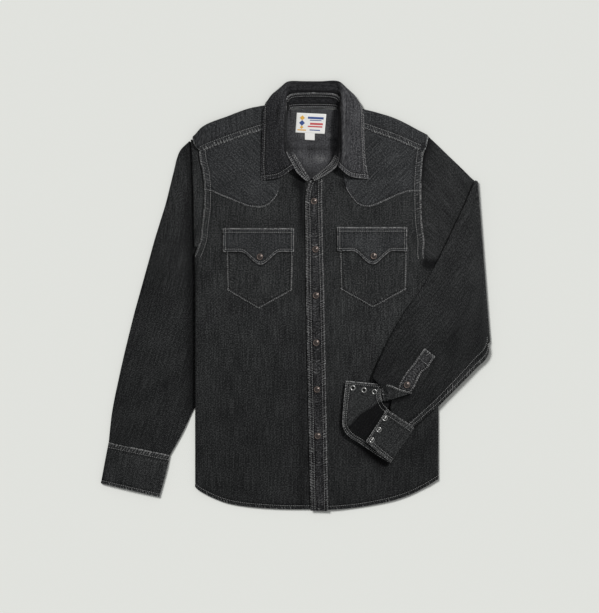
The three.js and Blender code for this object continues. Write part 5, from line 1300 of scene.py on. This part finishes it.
# Bars and lozenges woven into the label: colour, then centre, half width and half height as shares
MOTIFS = [
    ("blue", "bar", 0.66, 0.22, 0.27, 0.055), ("blue", "bar", 0.66, 0.34, 0.20, 0.02),
    ("red", "bar", 0.70, 0.52, 0.22, 0.05), ("red", "bar", 0.66, 0.66, 0.25, 0.035),
    ("blue", "bar", 0.66, 0.84, 0.18, 0.025), ("yellow", "bar", 0.21, 0.86, 0.15, 0.03),
    ("yellow", "lozenge", 0.2, 0.24, 0.09, 0.13), ("blue", "lozenge", 0.2, 0.5, 0.1, 0.15),
    ("yellow", "lozenge", 0.2, 0.72, 0.06, 0.09),
]
OUTLINES = {
    "bar": [(-1, -1), (1, -1), (1, 1), (-1, 1)], "lozenge": [(0, -1), (1, 0), (0, 1), (-1, 0)]}
MOTIF_THICKNESS = 0.25
COLOURS = {"blue": "#2b4a8c", "red": "#c8494c", "yellow": "#e3ae45"}
for colour, value in COLOURS.items():
    points, faces = [], []
    for kind, cx, cy, half_u, half_v in [motif[1:] for motif in MOTIFS if motif[0] == colour]:
        first, corners = len(points), OUTLINES[kind]
        for lift in (MOTIF_LIFT, MOTIF_LIFT + MOTIF_THICKNESS):
            for right, down in corners[::-1]:
                points.append(label_point(LABEL_CORNERS, cx + right * half_u, cy + down * half_v, lift))
        faces += [tuple(first + n for n in face) for face in (
            (3, 2, 1, 0), (4, 5, 6, 7), (0, 1, 5, 4), (1, 2, 6, 5), (2, 3, 7, 6), (3, 0, 4, 7))]
    placed(f"label_{colour}", None, points, faces,
           [woven(f"woven_label_{colour}", value)], smooth=False)

# Snaps
# Pressed brass snaps: domed caps with a dark antique plating and a copper-brown rim on the plackets
# and flaps, and the bright rings of the open cuff's sockets and studs
SNAP_CAP = 11
SNAP_SOCKET = 10
PLACKET_SNAPS = [(33.2, 169.5), (36, 83), (36.8, 0), (37.2, -85), (38.6, -169), (39.8, -252.5)]
FLAP_SNAPS = [("flap", "left", -64, 69.5), ("flap", "right", 140.5, 71)]
SLEEVE_SNAP = ("sleeve", "right", 200, -160.5)
CUFF_STUDS = [(160.5, -220.5, 17.6), (149.5, -241, 18.1), (137, -259.5, 18.6)]
CUFF_SOCKETS = [(103, -166, 13.6), (123, -170, 12.5), (142, -173, 11.3)]


def plated(name, colour, roughness):
    """Plated brass: dark or bright metal, with fine rubbing marks that spread the highlight"""
    made, tree, shader = material(name)
    place = add(tree, "ShaderNodeTexCoord").outputs["Object"]
    rub = add(tree, "ShaderNodeTexNoise", {"Vector": place, "Scale": 1 / (0.8 * MM), "Detail": 3})
    rough = add(tree, "ShaderNodeMapRange", {
        "Value": rub.outputs["Fac"], "To Min": roughness - 0.08, "To Max": roughness + 0.15})
    tone = add(tree, "ShaderNodeMix", {
        0: rub.outputs["Fac"], 6: linear(colour), 7: linear(colour, 0.6)},
        data_type="RGBA")
    wire(tree, shader, {
        "Base Color": tone.outputs[2], "Roughness": rough.outputs[0], "Metallic": 1})
    return made


cap_metal = plated("antique_plated_brass", "#6a625e", 0.24)
rim_metal = plated("copper_brown_brass", "#9a8a82", 0.36)
silver_metal = plated("nickel_plated_brass", "#c9c9c6", 0.28)
dark_metal = plated("blackened_brass", "#2a2a2a", 0.4)
# Profiles of turned metal, as share of the radius, height in mm and which of two metals
CAP_PROFILE = [
    (0, -0.6, 0), (1, -0.6, 1), (1.02, 0.1, 1), (1.0, 0.75, 1), (0.93, 1.15, 1), (0.85, 1.2, 1), (0.8, 0.95, 1),
    (0.76, 1.15, 0), (0.66, 1.75, 0), (0.5, 2.15, 0), (0.3, 2.4, 0), (0, 2.5, 0),
]
SOCKET_PROFILE = [
    (0, -0.6, 0), (0.95, -0.6, 0), (1.0, 0.2, 0), (0.95, 0.85, 0), (0.82, 1.2, 0), (0.68, 1.1, 0),
    (0.6, 0.6, 0), (0.56, 0.25, 1), (0.2, 0.15, 1), (0, 0.15, 1),
]
STUD_PROFILE = [
    (0, -0.6, 0), (0.95, -0.6, 0), (1.0, 0.2, 0), (0.95, 0.8, 0), (0.82, 1.05, 0), (0.7, 0.8, 0),
    (0.62, 0.35, 1), (0.42, 0.3, 1), (0.34, 0.6, 0), (0.34, 1.3, 0), (0.24, 1.65, 0), (0, 1.75, 0),
]
SNAP_SIDES = 40


def turned(name, node, place, diameter, profile, metals, slot):
    x, y, z = place
    turn = np.linspace(0, 2 * math.pi, SNAP_SIDES, endpoint=False)
    points, faces, kinds = [(x, y, z + profile[0][1])], [], []
    for share, height, _ in profile[1:-1]:
        radius = share * diameter / 2
        points += [(x + radius * math.cos(t), y + radius * math.sin(t), z + height) for t in turn]
    points.append((x, y, z + profile[-1][1]))
    for k in range(SNAP_SIDES):
        after = (k + 1) % SNAP_SIDES
        faces.append((0, 1 + after, 1 + k))
        kinds.append(profile[1][2])
        for ring in range(len(profile) - 3):
            low = 1 + ring * SNAP_SIDES
            high = low + SNAP_SIDES
            faces.append((low + k, low + after, high + after, high + k))
            kinds.append(profile[ring + 2][2])
        top = 1 + (len(profile) - 3) * SNAP_SIDES
        faces.append((top + k, top + after, len(points) - 1))
        kinds.append(profile[-1][2])
    made = placed(name, node, points, faces, metals)
    made.data.polygons.foreach_set("material_index", kinds)


def resting(node):
    """Height at which a snap sits, from the solid it stands for"""
    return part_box(node)[0].z / MM


caps = [("placket", k, x, y) for k, (x, y) in enumerate(PLACKET_SNAPS, 1)]
for part, which, x, y in [*caps, *FLAP_SNAPS, SLEEVE_SNAP]:
    node = f"snap_{part}_{which}"
    turned(f"{part}_snap_{which}", node, (x, y, resting(node)), SNAP_CAP, CAP_PROFILE,
           (cap_metal, rim_metal), "snap_cap")
for kind, places, profile in (("stud", CUFF_STUDS, STUD_PROFILE),
                              ("socket", CUFF_SOCKETS, SOCKET_PROFILE)):
    for k, place in enumerate(places, 1):
        turned(f"cuff_{kind}_{k}", f"{kind}_cuff_{k}", place, SNAP_SOCKET, profile,
               (silver_metal, dark_metal), "snap_silver")

# Stitches
# Rows of thick cotton thread, faded with the cloth: each seam's line is cut into even steps, and a
# small spindle of thread lies on each
# Real thread is about 0.5 mm thick, at about 3 mm a stitch; drawn coarser, so that it shows
STITCH_PITCH = 3.4
STITCH_LENGTH = 2.3
THREAD = 0.95
points, edges = [], []
for line in stitch_rows:
    first = len(points)
    points += (line * MM).tolist()
    edges += [(first + k, first + k + 1) for k in range(len(line) - 1)]
seam_mesh = bpy.data.meshes.new("seam_stitches")
seam_mesh.from_pydata(points, edges, [])
seam_lines = bpy.data.objects.new("seam_stitches", seam_mesh)
bpy.context.scene.collection.objects.link(seam_lines)

spindle_mesh = bpy.data.meshes.new("spindle")
half, r = STITCH_LENGTH / 2, THREAD / 2
ring = [(0, r), (r, 0), (0, -r), (-r, 0)]
spindle = [(-half, 0, 0)] + [(-half * 0.6, p, q) for p, q in ring] + [(half * 0.6, p, q) for p, q in ring]
spindle.append((half, 0, 0))
spindle_faces = []
for k in range(4):
    after = (k + 1) % 4
    spindle_faces += [(0, 1 + k, 1 + after), (1 + k, 5 + k, 5 + after, 1 + after),
                      (9, 5 + after, 5 + k)]
spindle_mesh.from_pydata((np.array(spindle) * MM).tolist(), [], spindle_faces)
spindle_mesh.shade_smooth()
spindle_object = bpy.data.objects.new("spindle", spindle_mesh)

thread, tree, shader = material("cotton_thread")
place = add(tree, "ShaderNodeTexCoord").outputs["Object"]
fade = add(tree, "ShaderNodeTexNoise", {"Vector": place, "Scale": 1 / (7 * MM), "Detail": 2})
shade_mix = add(tree, "ShaderNodeMix", {
    0: fade.outputs["Fac"], 6: linear("#3c3c3d"), 7: linear("#c4c4c2")}, data_type="RGBA")
wire(tree, shader, {"Base Color": shade_mix.outputs[2], "Roughness": 0.8})

sewing = bpy.data.node_groups.new("sewing", "GeometryNodeTree")
for name, kind, way in (("Seams", "NodeSocketGeometry", "INPUT"), ("Pitch", "NodeSocketFloat", "INPUT"),
                        ("Spindle", "NodeSocketObject", "INPUT"), ("Thread", "NodeSocketMaterial", "INPUT"),
                        ("Stitches", "NodeSocketGeometry", "OUTPUT")):
    sewing.interface.new_socket(name, in_out=way, socket_type=kind)
entry = add(sewing, "NodeGroupInput")
path = add(sewing, "GeometryNodeMeshToCurve", {"Mesh": entry.outputs["Seams"]})
even = add(sewing, "GeometryNodeResampleCurve", {
    "Curve": path.outputs["Curve"], "Length": entry.outputs["Pitch"]}, mode="LENGTH")
tangent = add(sewing, "GeometryNodeInputTangent")
turn = add(sewing, "FunctionNodeAlignRotationToVector", {"Vector": tangent.outputs[0]}, axis="X")
shape = add(sewing, "GeometryNodeObjectInfo", {"Object": entry.outputs["Spindle"]})
laid = add(sewing, "GeometryNodeInstanceOnPoints", {
    "Points": even.outputs["Curve"], "Instance": shape.outputs["Geometry"],
    "Rotation": turn.outputs[0]})
real = add(sewing, "GeometryNodeRealizeInstances", {"Geometry": laid.outputs["Instances"]})
dyed = add(sewing, "GeometryNodeSetMaterial", {
    "Geometry": real.outputs["Geometry"], "Material": entry.outputs["Thread"]})
add(sewing, "NodeGroupOutput", {"Stitches": dyed.outputs["Geometry"]})
sewer = seam_lines.modifiers.new("sewing", "NODES")
sewer.node_group = sewing
sockets = {s.name: s.identifier for s in sewing.interface.items_tree if s.in_out == "INPUT"}
sewer[sockets["Pitch"]] = STITCH_PITCH * MM
sewer[sockets["Spindle"]] = spindle_object
sewer[sockets["Thread"]] = thread
bpy.context.view_layer.update()
ready = seam_lines.evaluated_get(bpy.context.evaluated_depsgraph_get())
stitched = bpy.data.meshes.new_from_object(ready)
seam_lines.modifiers.remove(sewer)
seam_lines.data = stitched
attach(seam_lines, "root")

# Camera, floor and light
# The camera looks straight down from far away. A pale floor and soft light from the upper right.
PIXEL = 1.8
IMAGE_HEIGHT = 613
LENS = 200
SENSOR = 36
SKY, SHIRT_WATTS, FLOOR_SUN = 0.36, 44, 2.53
camera = bpy.data.objects.new("camera", bpy.data.cameras.new("camera"))
bpy.context.scene.collection.objects.link(camera)
bpy.context.scene.camera = camera
camera.data.lens = LENS
camera.data.sensor_width = SENSOR
camera.location = (7.2 * MM, -19.8 * MM, IMAGE_HEIGHT * PIXEL * MM * LENS / SENSOR)
camera.data.clip_end = 50

floor_mesh = bpy.data.meshes.new("floor")
floor_mesh.from_pydata([(-6, -6, 0), (6, -6, 0), (6, 6, 0), (-6, 6, 0)], [], [(0, 1, 2, 3)])
floor = bpy.data.objects.new("floor", floor_mesh)
bpy.context.scene.collection.objects.link(floor)
paper, tree, shader = material("pale_paper")
wire(tree, shader, {"Base Color": linear("#e4e5e0"), "Roughness": 0.95, "Specular IOR Level": 0.1})
floor_mesh.materials.append(paper)

world = bpy.data.worlds.new("studio")
bpy.context.scene.world = world
world.use_nodes = True
wire(world.node_tree, world.node_tree.nodes["Background"], {0: (0.98, 0.99, 1, 1), 1: SKY})
# The shirt's key light comes from the upper right and lights only the shirt. The floor has a softer
# one of its own, which casts the shirt's shadow.
on_floor = bpy.data.collections.new("floor_lit")
on_floor.objects.link(floor)
on_shirt = bpy.data.collections.new("shirt_lit")
for made in bpy.context.scene.objects:
    if made.type == "MESH" and made is not floor:
        on_shirt.objects.link(made)
shirt_key = bpy.data.objects.new("shirt_key", bpy.data.lights.new("shirt_key", "AREA"))
shirt_key.data.energy = SHIRT_WATTS
shirt_key.data.size = 0.35
shirt_key.location = (1.3, 1.15, 1.6)
aim = mathutils.Vector((0.04, 0, 0)) - shirt_key.location
shirt_key.rotation_euler = aim.to_track_quat("-Z", "Y").to_euler()
shirt_key.light_linking.receiver_collection = on_shirt
floor_key = bpy.data.objects.new("floor_key", bpy.data.lights.new("floor_key", "SUN"))
floor_key.data.energy = FLOOR_SUN
floor_key.data.angle = math.radians(20)
floor_key.rotation_euler = (math.radians(-28), math.radians(-30), 0)
floor_key.light_linking.receiver_collection = on_floor
for light in (shirt_key, floor_key):
    bpy.context.scene.collection.objects.link(light)
bpy.context.scene.view_settings.view_transform = "Standard"
